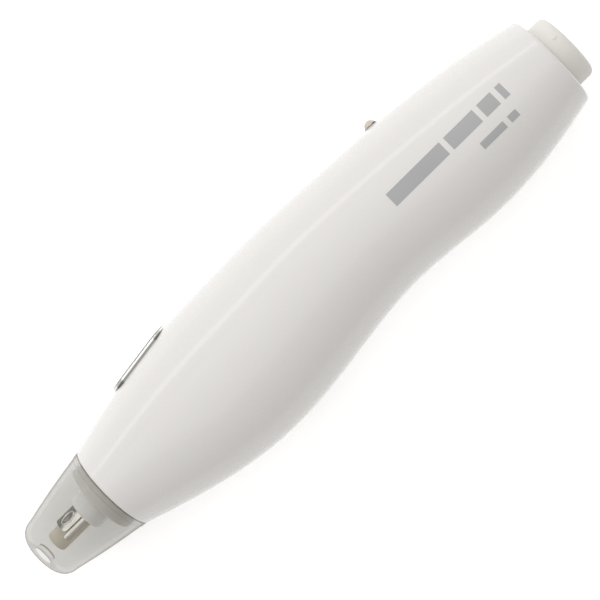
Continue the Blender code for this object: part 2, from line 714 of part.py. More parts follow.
def make_motor():
    bore = MOTOR_RADIUS - MOTOR_WALL
    front = MOTOR_START + MOTOR_WALL
    hole = SHAFT_RADIUS + RUNNING_GAP
    can_end = MOTOR_END - END_CAP_THICKNESS - GAP
    can = [
        (MOTOR_START - MOTOR_BOSS_LENGTH, hole),
        (MOTOR_START - MOTOR_BOSS_LENGTH, MOTOR_BOSS_RADIUS),
        (MOTOR_START, MOTOR_BOSS_RADIUS),
        (MOTOR_START, MOTOR_RADIUS - EDGE_ROUND),
        (MOTOR_START + EDGE_ROUND, MOTOR_RADIUS),
        (can_end, MOTOR_RADIUS),
        (can_end, bore),
        (front, bore),
        (front, hole),
    ]
    turned("motor_can", can, "steel")
    cap_start = can_end + GAP
    end_cap = [(cap_start, 0.0), (cap_start, MOTOR_RADIUS), (MOTOR_END, MOTOR_RADIUS), (MOTOR_END, 0.0)]
    turned("motor_end_cap", end_cap, "black")
    shaft_start = SPINDLE_END - SHAFT_GRIP
    rod("motor_shaft", SHAFT_RADIUS, shaft_start, cap_start - GAP, "steel", SPINDLE_FRAME, steps=24)
    core_start = front + ARMATURE_AHEAD
    core_end = core_start + ARMATURE_LENGTH
    magnet_outer = bore - GAP
    magnet_inner = magnet_outer - MAGNET_THICKNESS
    for name, turn in (("magnet_left", 0.0), ("magnet_right", math.pi)):
        sector(name, magnet_inner, magnet_outer, front + GAP, core_end, MAGNET_ANGLE, turn, "magnet")
    core_radius = magnet_inner - GAP
    tube = [
        (core_start, hole), (core_start, core_radius), (core_end, core_radius), (core_end, hole),
    ]
    core = turned("armature", tube, "copper", SPINDLE_FRAME, steps=30)
    for number in range(3):
        turn = 2 * math.pi * number / 3
        place = (GROOVE_SHARE * core_radius * math.cos(turn), GROOVE_SHARE * core_radius * math.sin(turn))
        groove = rod(
            f"armature_groove_{number}",
            GROOVE_RADIUS_SHARE * core_radius,
            core_start - PAST,
            core_end + PAST,
            parent=SPINDLE_FRAME,
            centre=place,
            steps=12,
        )
        combine(core, groove, "DIFFERENCE")
    start = core_end + GAP
    end = start + COMMUTATOR_LENGTH
    ring = [(start, hole), (start, COMMUTATOR_RADIUS), (end, COMMUTATOR_RADIUS), (end, hole)]
    turned("commutator", ring, "copper", SPINDLE_FRAME, steps=24)
    for name, side in (("motor_tag_plus", 1), ("motor_tag_minus", -1)):
        low = (MOTOR_END + GAP, side * TERMINAL_SPREAD - TERMINAL_HALF_WIDTH, -TERMINAL_HALF_THICKNESS)
        high = (
            MOTOR_END + TERMINAL_LENGTH,
            side * TERMINAL_SPREAD + TERMINAL_HALF_WIDTH,
            TERMINAL_HALF_THICKNESS,
        )
        box(name, low, high, "bronze")


# Button, bezel, switch and lamp

PLUNGER_TOP = -(BEZEL_HEIGHT + BUTTON_FLANGE + 2 * GAP)
SWITCH_TOP = PLUNGER_TOP - PLUNGER_HEIGHT
BOARD_TOP = SWITCH_TOP - SWITCH_HEIGHT - GAP
SWITCH_DEPTH = -BOARD_TOP + BOARD_THICKNESS


def make_button():
    half = BEZEL_LENGTH / 2
    width = BEZEL_WIDTH / 2
    edge = SMALL_EDGE
    inner_half = half - BEZEL_BAND
    inner_width = width - BEZEL_BAND
    bezel = [
        stadium(-BEZEL_HEIGHT, half, width),
        stadium(BEZEL_PROUD - edge, half, width),
        stadium(BEZEL_PROUD, half - edge, width - edge),
        stadium(BEZEL_PROUD, inner_half + edge, inner_width + edge),
        stadium(BEZEL_PROUD - edge, inner_half, inner_width),
        stadium(-BEZEL_HEIGHT, inner_half, inner_width),
    ]
    ring_stack("button_bezel", bezel, "chrome", BUTTON_FRAME, loop=True)
    flange_top = -BEZEL_HEIGHT - GAP
    flange_low = flange_top - BUTTON_FLANGE
    top_half = inner_half - GAP
    top_width = inner_width - GAP
    button = [
        stadium(flange_low, half - edge, width - edge),
        stadium(flange_top, half - edge, width - edge),
        stadium(flange_top, top_half, top_width),
        stadium(BUTTON_PROUD - edge, top_half, top_width),
        stadium(BUTTON_PROUD, top_half - edge, top_width - edge),
    ]
    ring_stack("button", button, "ivory", PRESS_FRAME)
    plunger = [(PLUNGER_TOP, 0.0), (PLUNGER_TOP, PLUNGER_RADIUS), (SWITCH_TOP + GAP, PLUNGER_RADIUS)]
    plunger.append((SWITCH_TOP + GAP, 0.0))
    turned("switch_plunger", plunger, "black", PRESS_FRAME, rotation=(0, 0, 0), steps=20)
    side = SWITCH_SIDE / 2
    low = (-side, -side, SWITCH_TOP - SWITCH_HEIGHT)
    switch = box("switch_body", low, (side, side, SWITCH_TOP), "black", BUTTON_FRAME)
    well_low = SWITCH_TOP - BUTTON_TRAVEL - GAP
    well = [(well_low, 0.0), (well_low, PLUNGER_RADIUS + GAP), (0.0, PLUNGER_RADIUS + GAP), (0.0, 0.0)]
    hole = turned("switch_well", well, None, BUTTON_FRAME, rotation=(0, 0, 0), steps=20)
    combine(switch, hole, "DIFFERENCE")
    box(
        "switch_board",
        (-BOARD_LENGTH / 2, -BOARD_WIDTH / 2, BOARD_TOP - BOARD_THICKNESS),
        (BOARD_LENGTH / 2, BOARD_WIDTH / 2, BOARD_TOP),
        "board",
        BUTTON_FRAME,
    )


def make_lamp():
    top = LAMP_TOP + LAMP_PROUD
    dome = arc((top - LAMP_RADIUS, 0.0), LAMP_RADIUS, 0.0, math.pi / 2, 6)
    dome[0] = (top, 0.0)
    flange_top = LAMP_TOP - WALL - 2 * GAP
    profile = dome + [(flange_top, LAMP_RADIUS), (flange_top, LAMP_FLANGE_RADIUS)]
    profile += [(flange_top - LAMP_FLANGE, LAMP_FLANGE_RADIUS), (flange_top - LAMP_FLANGE, 0.0)]
    turned("lamp", profile, "lamp", None, (LAMP_X, 0, 0), (-math.pi / 2, 0, 0), 24)


# Cells, tray and contacts

def cell_places():
    return (("a", TRAY_Y + CELL_PITCH / 2), ("b", TRAY_Y - CELL_PITCH / 2))


def coil(name, start, length, radius, centre, slot):
    """A compression spring along X, as a round wire on a helix."""
    curve = bpy.data.curves.new(name, "CURVE")
    curve.dimensions = "3D"
    curve.bevel_depth = SPRING_WIRE
    curve.bevel_resolution = 2
    curve.use_fill_caps = True
    spline = curve.splines.new("POLY")
    count = SPRING_TURNS * SPRING_STEPS
    spline.points.add(count)
    for i in range(count + 1):
        angle = 2 * math.pi * i / SPRING_STEPS
        reach = radius * (1 - 0.25 * i / count)
        x = start + length * i / count
        point = (x, centre[0] + reach * math.cos(angle), centre[1] + reach * math.sin(angle), 1.0)
        spline.points[i].co = point
    return add(name, curve, slot)


def make_cells():
    half = CELL_PITCH / 2 + CELL_RADIUS + CELL_SIDE + TRAY_SIDE
    top = CELL_Z + CELL_RADIUS + CELL_SIDE + TRAY_WALL
    tray = box("battery_tray", (TRAY_START, TRAY_Y - half, CELL_Z), (TRAY_END, TRAY_Y + half, top), "black")
    room = CELL_RADIUS + CELL_SIDE / 2
    room_start = TRAY_START + TRAY_WALL
    room_end = TRAY_END - TRAY_WALL
    for tag, y in cell_places():
        cutter = rod(f"cell_room_{tag}", room, room_start, room_end, centre=(y, CELL_Z), steps=24)
        combine(tray, cutter, "DIFFERENCE")
        cell = [
            (CELL_START, 0.0),
            (CELL_START, CELL_RADIUS - EDGE_ROUND),
            (CELL_START + EDGE_ROUND, CELL_RADIUS),
            (CELL_START + CELL_LENGTH - EDGE_ROUND, CELL_RADIUS),
            (CELL_START + CELL_LENGTH, CELL_RADIUS - EDGE_ROUND),
            (CELL_START + CELL_LENGTH, CELL_NUB_RADIUS),
            (CELL_START + CELL_LENGTH + CELL_NUB, CELL_NUB_RADIUS),
            (CELL_START + CELL_LENGTH + CELL_NUB, 0.0),
        ]
        turned(f"cell_{tag}", cell, "cell", None, (0, y, CELL_Z), steps=24)
        plate_start = room_start + GAP
        plate_end = plate_start + CONTACT_THICKNESS
        plate_low = CELL_Z - CONTACT_HALF_WIDTH
        plate_high = CELL_Z + CONTACT_HALF_WIDTH * 0.8
        low = (plate_start, y - CONTACT_HALF_WIDTH, plate_low)
        box(f"spring_plate_{tag}", low, (plate_end, y + CONTACT_HALF_WIDTH, plate_high), "steel")
        spring_start = plate_end + GAP + SPRING_WIRE
        spring_length = CELL_START - GAP - SPRING_WIRE - spring_start
        coil(f"contact_spring_{tag}", spring_start, spring_length, SPRING_RADIUS, (y, CELL_Z), "steel")
    jumper_end = room_end - GAP / 2
    jumper_half = CELL_PITCH / 2 + CONTACT_HALF_WIDTH
    window = box(
        "jumper_room",
        (jumper_end - CONTACT_THICKNESS - GAP, TRAY_Y - CELL_PITCH / 2, CELL_Z - CONTACT_HALF_WIDTH),
        (jumper_end + GAP / 2, TRAY_Y + CELL_PITCH / 2, CELL_Z + CONTACT_HALF_WIDTH + GAP),
    )
    combine(tray, window, "DIFFERENCE")
    low = (jumper_end - CONTACT_THICKNESS, TRAY_Y - jumper_half + GAP, CELL_Z - CONTACT_HALF_WIDTH)
    high = (jumper_end, TRAY_Y + jumper_half - GAP, CELL_Z + CONTACT_HALF_WIDTH * 0.6)
    box("contact_jumper", low, high, "steel")


# Magazine, spare refills and tail plug

def make_tail():
    start = MAGAZINE_START
    bore = MAGAZINE_BORE
    tube = [
        (start, 0.0),
        (start, bore + MAGAZINE_WALL),
        (MAGAZINE_END, bore + MAGAZINE_WALL),
        (MAGAZINE_END, bore),
        (start + MAGAZINE_WALL, bore),
        (start + MAGAZINE_WALL, 0.0),
    ]
    turned("magazine", tube, "white", None, (0, PLUG_Y, 0))
    head_start = TAIL + GAP
    head_end = head_start + PLUG_HEAD
    inside = SHANK_RADIUS - PLUG_WALL
    groove = head_start - SHANK_LENGTH * 0.6
    groove_half = SEAL_RADIUS + RUNNING_GAP
    groove_depth = 2 * SEAL_RADIUS + 2 * RUNNING_GAP - GAP
    shank_start = head_start - SHANK_LENGTH
    plug = [
        (head_end, 0.0),
        (head_end, PLUG_RADIUS - PLUG_ROUND),
    ]
    plug += arc((head_end - PLUG_ROUND, PLUG_RADIUS - PLUG_ROUND), PLUG_ROUND, 0.0, math.pi / 2, 5)[1:]
    plug += [
        (head_start, PLUG_RADIUS),
        (head_start, SHANK_RADIUS),
        (groove + groove_half, SHANK_RADIUS),
        (groove + groove_half, SHANK_RADIUS - groove_depth),
        (groove - groove_half, SHANK_RADIUS - groove_depth),
        (groove - groove_half, SHANK_RADIUS),
        (shank_start, SHANK_RADIUS),
        (shank_start, inside),
        (head_end - 2 * PLUG_WALL, inside),
        (head_end - 2 * PLUG_WALL, 0.0),
    ]
    turned("tail_plug", plug, "ivory", PLUG_FRAME, steps=30)
    ring_radius = SHANK_RADIUS - groove_depth + RUNNING_GAP + SEAL_RADIUS
    seal = arc((groove, ring_radius), SEAL_RADIUS, 0.0, 2 * math.pi, 6)[:-1]
    turned("plug_seal", seal, "rubber", PLUG_FRAME, steps=30)
    refill_start = start + MAGAZINE_WALL + GAP
    refill_end = min(refill_start + REFILL_LENGTH, head_end - 2 * PLUG_WALL - GAP)
    spread = (REFILL_RADIUS + GAP / 2) / math.sin(math.pi / SPARE_COUNT)
    for number in range(SPARE_COUNT):
        angle = 2 * math.pi * number / SPARE_COUNT + math.pi / 2
        place = (PLUG_Y + spread * math.cos(angle), spread * math.sin(angle))
        name = f"spare_refill_{number + 1}"
        rod(name, REFILL_RADIUS, refill_start, refill_end, "eraser", None, place, steps=16)


# Joint frames: each sits on its joint's axis
SPINDLE_FRAME = empty("spindle_axis", (0, 0, 0))
CAP_FRAME = empty("cap_axis", (0, 0, 0))
PLUG_FRAME = empty("plug_axis", (0, PLUG_Y, 0))
BUTTON_FRAME = empty("button_seat", button_point(0.0), (-math.pi / 2, 0, BUTTON_TILT))
PRESS_FRAME = empty("button_axis", button_point(0.0), (-math.pi / 2, 0, BUTTON_TILT))
REFILL_FRAME = empty("refill_axis", (0, 0, 0))

make_cap()
make_spindle()
make_motor()
make_button()
make_lamp()
make_bodies()
make_screws()
make_cells()
make_tail()
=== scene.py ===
"""Finished looks of a cordless electric eraser, laid out as an add-on and run as a script.

X runs from the cap to the tail, Y points to the push button, and Z is up. All lengths are in metres."""

import math

import bmesh
import bpy
import numpy as np
from mathutils import Matrix, Vector


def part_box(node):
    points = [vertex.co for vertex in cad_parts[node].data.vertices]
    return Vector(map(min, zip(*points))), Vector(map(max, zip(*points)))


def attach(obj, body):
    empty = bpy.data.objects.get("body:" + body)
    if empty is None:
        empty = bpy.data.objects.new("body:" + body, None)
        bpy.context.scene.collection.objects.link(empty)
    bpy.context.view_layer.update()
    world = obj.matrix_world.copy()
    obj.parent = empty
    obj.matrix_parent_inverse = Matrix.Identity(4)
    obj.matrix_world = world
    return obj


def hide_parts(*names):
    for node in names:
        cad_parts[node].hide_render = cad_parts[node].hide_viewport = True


bl_info = {
    "name": "Electric eraser finish",
    "version": (1, 0, 0),
    "blender": (4, 5, 0),
    "location": "3D View > Sidebar > Eraser",
    "description": "Builds the finished surfaces of a cordless electric eraser",
    "category": "Object",
}

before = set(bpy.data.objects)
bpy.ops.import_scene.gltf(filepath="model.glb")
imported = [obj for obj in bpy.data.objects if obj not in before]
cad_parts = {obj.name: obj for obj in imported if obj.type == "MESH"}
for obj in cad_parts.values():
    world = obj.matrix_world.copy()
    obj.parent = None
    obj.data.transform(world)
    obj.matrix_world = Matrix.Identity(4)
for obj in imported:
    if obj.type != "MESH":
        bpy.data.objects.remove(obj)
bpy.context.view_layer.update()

# Places read from the frame
CAP_LOW, CAP_HIGH = (Vector(corner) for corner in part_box("cap"))
SPINDLE_LOW, SPINDLE_HIGH = (Vector(corner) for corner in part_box("spindle"))
CHUCK_LOW, CHUCK_HIGH = (Vector(corner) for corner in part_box("chuck"))
REFILL_LOW, REFILL_HIGH = (Vector(corner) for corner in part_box("eraser_refill"))
PLUG_LOW, PLUG_HIGH = (Vector(corner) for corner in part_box("tail_plug"))
LAMP_LOW, LAMP_HIGH = (Vector(corner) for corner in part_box("lamp"))
DOOR_LOW, DOOR_HIGH = (Vector(corner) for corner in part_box("battery_door"))
AXIS_Y = (SPINDLE_LOW.y + SPINDLE_HIGH.y) / 2
AXIS_Z = (SPINDLE_LOW.z + SPINDLE_HIGH.z) / 2
PLUG_Y = (PLUG_LOW.y + PLUG_HIGH.y) / 2
TIP = CAP_LOW.x
SHOULDER = CAP_HIGH.x + 0.0003
TAIL = Vector(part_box("upper_shell")[1]).x
NOSE_RADIUS = 0.0102
TAIL_RADIUS = 0.0107
TAIL_DROP = 0.0009
BODY_WIDTH = 0.0337
BODY_DEPTH = 0.028
# Sections along the body: share of the length, then the rise to the button side, the fall to the other side
# and the half depth, as shares of the width and of the depth.
SECTIONS = (
    (0.129, 0.412, 0.439, 0.448),
    (0.260, 0.475, 0.513, 0.493),
    (0.358, 0.490, 0.504, 0.500),
    (0.456, 0.496, 0.457, 0.484),
    (0.603, 0.475, 0.404, 0.464),
    (0.766, 0.436, 0.448, 0.463),
    (0.913, 0.362, 0.409, 0.430),
)
WALL = 0.0016


class EraserSizes(bpy.types.PropertyGroup):
    """Sizes of the finished surfaces that can be changed by themselves."""

    seam: bpy.props.FloatProperty(
        name="Seam", description="Gap between the two body halves", default=0.00008, unit="LENGTH"
    )
    edge: bpy.props.FloatProperty(
        name="Tail edge", description="Rounding of the body's tail edge", default=0.0006, unit="LENGTH"
    )
    cap_wall: bpy.props.FloatProperty(
        name="Cap wall", description="Thickness of the clear cap", default=0.0011, unit="LENGTH"
    )
    plug_round: bpy.props.FloatProperty(
        name="Plug rounding", description="Rounding of the tail plug's end", default=0.0013, unit="LENGTH"
    )
    print_lift: bpy.props.FloatProperty(
        name="Print lift", description="Thickness of the printed bars", default=0.00003, unit="LENGTH"
    )


class EraserColours(bpy.types.PropertyGroup):
    """Colours of the main finishes."""

    body: bpy.props.FloatVectorProperty(
        name="Body", description="Glossy body plastic", default=(0.76, 0.743, 0.724), subtype="COLOR"
    )
    cap: bpy.props.FloatVectorProperty(
        name="Cap", description="Smoky clear cap", default=(0.20, 0.18, 0.13), subtype="COLOR"
    )
    # The edge colour also paints the shade lines at the cap's mouth, bead step and vent.
    cap_edge: bpy.props.FloatVectorProperty(
        name="Cap edge", description="Cap seen edge-on", default=(0.13, 0.085, 0.045), subtype="COLOR"
    )
    eraser: bpy.props.FloatVectorProperty(
        name="Eraser", description="Vinyl eraser refill", default=(0.68, 0.64, 0.55), subtype="COLOR"
    )
    plug: bpy.props.FloatVectorProperty(
        name="Plug", description="Matte tail plug", default=(0.75, 0.73, 0.695), subtype="COLOR"
    )
    silver: bpy.props.FloatVectorProperty(
        name="Print", description="Silver-grey print", default=(0.43, 0.43, 0.435), subtype="COLOR"
    )


# The body's outline

def spline(knots, values, at):
    """Natural cubic spline: the second derivatives at the knots solve a three-band system, and between two
    knots the curve is the cubic that has those second derivatives and passes through both values."""
    step = np.diff(knots)
    count = len(knots)
    bands = np.eye(count)
    right = np.zeros_like(values)
    inner = np.arange(1, count - 1)
    bands[inner, inner - 1] = step[:-1]
    bands[inner, inner] = 2 * (step[:-1] + step[1:])
    bands[inner, inner + 1] = step[1:]
    slope = np.diff(values, axis=0) / step[:, None]
    right[1:-1] = 6 * np.diff(slope, axis=0)
    bend = np.linalg.solve(bands, right)
    k = np.clip(np.searchsorted(knots, at, side="right") - 1, 0, count - 2)
    h = step[k][:, None]
    a = (knots[k + 1] - at)[:, None] / h
    b = 1 - a
    curve = a * values[k] + b * values[k + 1]
    return curve + ((a**3 - a) * bend[k] + (b**3 - b) * bend[k + 1]) * h**2 / 6


def outline(x):
    """Rise, fall and half depth of the body at each x, as three columns."""
    rows = [(0.0, NOSE_RADIUS, NOSE_RADIUS, NOSE_RADIUS)]
    rows += [(s, a * BODY_WIDTH, b * BODY_WIDTH, c * BODY_DEPTH) for s, a, b, c in SECTIONS]
    rows.append((1.0, TAIL_RADIUS - TAIL_DROP, TAIL_RADIUS + TAIL_DROP, TAIL_RADIUS))
    table = np.array(rows)
    share = np.clip((np.atleast_1d(x) - SHOULDER) / (TAIL - SHOULDER), 0.0, 1.0)
    return spline(table[:, 0], table[:, 1:], share)


def sections(x, inset=0.0):
    """Rings of the body at each x: columns x, centre y, half width, half depth, set in from the skin."""
    x = np.atleast_1d(x)
    form = outline(x)
    centre = AXIS_Y + (form[:, 0] - form[:, 1]) / 2
    half_width = (form[:, 0] + form[:, 1]) / 2 - inset
    return np.stack([x, centre, half_width, form[:, 2] - inset], axis=1)


def skin_point(x, y, lift=0.0, side=1):
    """Points on the skin over (x, y), lifted along Z: z is the half depth times the root of one less the
    squared share of the half width."""
    ring = sections(x.ravel())
    share = (y.ravel() - ring[:, 1]) / ring[:, 2]
    z = AXIS_Z + side * (ring[:, 3] * np.sqrt(np.clip(1 - share**2, 0, 1)) + lift)
    return np.stack([x.ravel(), y.ravel(), z], axis=1).reshape(*x.shape, 3)


# Mesh tools

def grid_faces(rows, columns, loop_rows, loop_columns):
    """Quads of a grid of points numbered row by row, each joining a point to its next in both ways."""
    i = np.arange(rows if loop_rows else rows - 1)
    j = np.arange(columns if loop_columns else columns - 1)
    i, j = (part.ravel() for part in np.meshgrid(i, j, indexing="ij"))
    next_i = (i + 1) % rows
    next_j = (j + 1) % columns
    quads = [i * columns + j, i * columns + next_j, next_i * columns + next_j, next_i * columns + j]
    return np.stack(quads, axis=1)


def put_mesh(name, points, faces, material, sharp=35.0, caps=()):
    """Makes one object from points and quads. Doubles are merged, and faces are turned outwards."""
    mesh = bpy.data.meshes.new(name)
    face_list = [tuple(face) for face in faces.tolist()] + [tuple(cap) for cap in caps]
    mesh.from_pydata(np.asarray(points).reshape(-1, 3), [], face_list)
    build = bmesh.new()
    build.from_mesh(mesh)
    bmesh.ops.remove_doubles(build, verts=build.verts, dist=0.0000005)
    bmesh.ops.recalc_face_normals(build, faces=build.faces)
    build.to_mesh(mesh)
    build.free()
    mesh.shade_smooth()
    mesh.set_sharp_from_angle(angle=math.radians(sharp))
    mesh.materials.append(material)
    obj = bpy.data.objects.new(name, mesh)
    bpy.context.scene.collection.objects.link(obj)
    return obj


AXIS_LINE = Matrix.Translation((0, AXIS_Y, AXIS_Z))
PLUG_LINE = Matrix.Translation((0, PLUG_Y, AXIS_Z))


def turned(name, profile, matrix, material, steps=96, sharp=35.0):
    """Turns a profile of (x, radius) about the matrix's X: the other two are the radius times the cosine
    and the sine. A profile that leaves the axis free is closed into a ring."""
    profile = np.asarray(profile, float)
    ring = profile[0, 1] > 1e-9
    angle = np.linspace(0, 2 * np.pi, steps, endpoint=False)
    radius = np.repeat(profile[:, 1:2], steps, axis=1)
    x = np.repeat(profile[:, 0:1], steps, axis=1)
    points = np.stack([x, radius * np.cos(angle), radius * np.sin(angle)], axis=2)
    faces = grid_faces(len(profile), steps, ring, True)
    return put_mesh(name, placed(points, matrix), faces, material, sharp)


def skinned(name, rings, material, matrix=None, loop=False, sharp=35.0):
    """Skins closed rings of equal count. A loop returns to its first ring, any other stack is capped."""
    rings = np.asarray(rings, float)
    rows, columns = rings.shape[:2]
    faces = grid_faces(rows, columns, loop, True)
    first = list(range(columns))
    caps = [] if loop else [first, [(rows - 1) * columns + i for i in first]]
    points = placed(rings, matrix) if matrix else rings
    return put_mesh(name, points, faces, material, sharp, caps)


def arc(x, radius, size, start, end, steps=8):
    """Points (x, radius) on a circle of the given size, with angles in degrees from +X."""
    turn = np.radians(np.linspace(start, end, steps + 1))
    return np.stack([x + size * np.cos(turn), radius + size * np.sin(turn)], axis=1).tolist()


def stadium(height, half_length, radius, steps=24):
    """A level ring of two straight sides and two half circles."""
    turn = np.linspace(-np.pi / 2, np.pi / 2, steps + 1)
    straight = half_length - radius
    x = np.concatenate([straight + radius * np.cos(turn), -straight - radius * np.cos(turn)])
    y = np.concatenate([radius * np.sin(turn), -radius * np.sin(turn)])
    return np.stack([x, y, np.full_like(x, height)], axis=1)


def placed(points, matrix):
    """Carries points by a matrix, as one array product."""
    turn = np.array(matrix.to_3x3())
    return np.asarray(points) @ turn.T + np.array(matrix.translation)


def cut(obj, cutters, operation="DIFFERENCE"):
    """Cuts a piece with closed solids, keeps the result as its mesh and removes the solids."""
    for cutter in cutters:
        modifier = obj.modifiers.new(cutter.name, "BOOLEAN")
        modifier.operation = operation
        modifier.object = cutter
        modifier.solver = "EXACT"
    graph = bpy.context.evaluated_depsgraph_get()
    result = bpy.data.meshes.new_from_object(obj.evaluated_get(graph))
    obj.modifiers.clear()
    obj.data = result
    result.shade_smooth()
    result.set_sharp_from_angle(angle=math.radians(30))
    for cutter in cutters:
        bpy.data.objects.remove(cutter, do_unlink=True)


def paint(obj, material, picked):
    """Another finish for the faces picked by their centres, given as x, the distance from the spindle's
    axis and the height over it."""
    mesh = obj.data
    centres = np.empty(len(mesh.polygons) * 3)
    mesh.polygons.foreach_get("center", centres)
    x, y, z = centres.reshape(-1, 3).T
    index = np.empty(len(mesh.polygons), dtype=np.int32)
    mesh.polygons.foreach_get("material_index", index)
    mesh.materials.append(material)
    index[picked(x, np.hypot(y - AXIS_Y, z - AXIS_Z), z - AXIS_Z)] = len(mesh.materials) - 1
    mesh.polygons.foreach_set("material_index", index)


def finish_piece(obj, body, slot, *nodes):
    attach(obj, body)
    if nodes:
        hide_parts(*nodes)


# Materials

def principled(name):
    """A new material with its node tree and its shader."""
    made = bpy.data.materials.new(name)
    made.use_nodes = True
    tree = made.node_tree
    return made, tree, tree.nodes["Principled BSDF"]


def noise(tree, scale, detail=4.0):
    """A noise field in the object's own coordinates."""
    place = tree.nodes.new("ShaderNodeTexCoord")
    field = tree.nodes.new("ShaderNodeTexNoise")
    field.inputs["Scale"].default_value = scale
    field.inputs["Detail"].default_value = detail
    tree.links.new(place.outputs["Object"], field.inputs["Vector"])
    return field.outputs["Fac"]


def ramp(tree, value, low, high, start=0.35, end=0.65):
    """Two colours blended by a value."""
    node = tree.nodes.new("ShaderNodeValToRGB")
    node.color_ramp.elements[0].position = start
    node.color_ramp.elements[1].position = end
    node.color_ramp.elements[0].color = (*low, 1.0)
    node.color_ramp.elements[1].color = (*high, 1.0)
    tree.links.new(value, node.inputs["Fac"])
    return node.outputs["Color"]


def relief(tree, shader, value, strength, distance):
    """Fine relief from a height field."""
    node = tree.nodes.new("ShaderNodeBump")
    node.inputs["Strength"].default_value = strength
    node.inputs["Distance"].default_value = distance
    tree.links.new(value, node.inputs["Height"])
    tree.links.new(node.outputs["Normal"], shader.inputs["Normal"])


def span(tree, value, low, high):
    """Maps the middle of a noise field, 0.3 to 0.7, onto low to high."""
    node = tree.nodes.new("ShaderNodeMapRange")
    node.inputs["From Min"].default_value = 0.3
    node.inputs["From Max"].default_value = 0.7
    node.inputs["To Min"].default_value = low
    node.inputs["To Max"].default_value = high
    tree.links.new(value, node.inputs["Value"])
    return node.outputs["Result"]


def shaded(colour, factor):
    return tuple(min(1.0, channel * factor) for channel in colour)


def plastic(name, colour, rough, grain=900.0, height=0.00001, coat=0.0, drift=0.02, scatter=0.0):
    """Moulded plastic: a slow drift of colour, fine grain in the roughness, relief and optional gloss."""
    made, tree, shader = principled(name)
    slow = noise(tree, 35.0, 2.0)
    fine = noise(tree, grain, 6.0)
    low, high = shaded(colour, 1 - drift), shaded(colour, 1 + drift)
    tree.links.new(ramp(tree, slow, low, high), shader.inputs["Base Color"])
    tree.links.new(span(tree, fine, rough * 0.85, rough * 1.15), shader.inputs["Roughness"])
    shader.inputs["Specular IOR Level"].default_value = 0.2
    shader.inputs["Coat Weight"].default_value = coat
    shader.inputs["Coat IOR"].default_value = 1.33
    shader.inputs["Coat Roughness"].default_value = 0.04
    shader.inputs["Subsurface Weight"].default_value = scatter
    shader.inputs["Subsurface Radius"].default_value = (0.002, 0.0016, 0.0013)
    relief(tree, shader, slow if coat > 0.5 else fine, 0.1, height)
    return made


def metal(name, colour, rough, grain=1400.0, height=0.000004):
    """Plated or bare metal: polished unevenly, with faint rubbed marks."""
    made, tree, shader = principled(name)
    fine = noise(tree, grain, 5.0)
    slow = noise(tree, 160.0, 3.0)
    tones = ramp(tree, slow, shaded(colour, 0.93), shaded(colour, 1.05))
    tree.links.new(tones, shader.inputs["Base Color"])
    tree.links.new(span(tree, fine, rough * 0.7, rough * 1.4), shader.inputs["Roughness"])
    shader.inputs["Metallic"].default_value = 1.0
    relief(tree, shader, fine, 0.2, height)
    return made


def banded_metal(name, origin, direction, bands):
    """Polished metal with painted bands, which stand for reflections and don't follow the light or the
    view. Each band is a pair of a distance along the direction and the base colour's tone there."""
    made, tree, shader = principled(name)
    place = tree.nodes.new("ShaderNodeTexCoord")
    dot = tree.nodes.new("ShaderNodeVectorMath")
    dot.operation = "DOT_PRODUCT"
    dot.inputs[1].default_value = direction
    tree.links.new(place.outputs["Object"], dot.inputs[0])
    low, high = bands[0][0], bands[-1][0]
    offset = Vector(origin).dot(Vector(direction))
    share = tree.nodes.new("ShaderNodeMapRange")
    share.inputs["From Min"].default_value = offset + low
    share.inputs["From Max"].default_value = offset + high
    tree.links.new(dot.outputs["Value"], share.inputs["Value"])
    tones = tree.nodes.new("ShaderNodeValToRGB")
    stops = tones.color_ramp.elements
    while len(stops) < len(bands):
        stops.new(0.5)
    for stop, (distance, tone) in zip(stops, bands):
        stop.position = (distance - low) / (high - low)
        stop.color = (tone, tone * 0.985, tone * 0.93, 1.0)
    tree.links.new(share.outputs["Result"], tones.inputs["Fac"])
    tree.links.new(tones.outputs["Color"], shader.inputs["Base Color"])
    fine = noise(tree, 1400.0, 5.0)
    tree.links.new(span(tree, fine, 0.10, 0.20), shader.inputs["Roughness"])
    shader.inputs["Metallic"].default_value = 1.0
    relief(tree, shader, fine, 0.2, 0.000003)
    return made


def clear_plastic(name, colour, edge, thin, thick, gloss=0.4):
    """Clear moulding: nearly open where it faces the eye, denser and darker where it turns edge-on."""
    made, tree, shader = principled(name)
    facing = tree.nodes.new("ShaderNodeLayerWeight")
    facing.inputs["Blend"].default_value = 0.35
    tint = ramp(tree, facing.outputs["Facing"], colour, edge, 0.5, 0.75)
    tree.links.new(tint, shader.inputs["Base Color"])
    cover = tree.nodes.new("ShaderNodeMapRange")
    cover.inputs["From Min"].default_value = 0.52
    cover.inputs["From Max"].default_value = 0.85
    cover.inputs["To Min"].default_value = thin
    cover.inputs["To Max"].default_value = thick
    tree.links.new(facing.outputs["Facing"], cover.inputs["Value"])
    tree.links.new(cover.outputs["Result"], shader.inputs["Alpha"])
    fine = noise(tree, 420.0, 3.0)
    tree.links.new(span(tree, fine, 0.04, 0.09), shader.inputs["Roughness"])
    shader.inputs["Specular IOR Level"].default_value = gloss
    relief(tree, shader, fine, 0.12, 0.00001)
    return made


# Painted reflection bands: distance along the band's direction, and the metal's tone there, which stands
# for a reflection
BEZEL_PAINTED_REFLECTIONS = (
    (-0.0011, 0.85), (-0.0008, 0.24), (-0.0004, 0.20), (-0.0002, 0.85), (0.0, 0.80), (0.0001, 0.26),
    (0.0003, 0.38),
)
JAW_PAINTED_REFLECTIONS = (
    (-0.0032, 0.14), (-0.0024, 0.22), (-0.0020, 0.95), (-0.0010, 1.0), (0.0, 0.9), (0.0011, 0.86),
    (0.0017, 0.30), (0.0024, 0.20), (0.0031, 0.12),
)


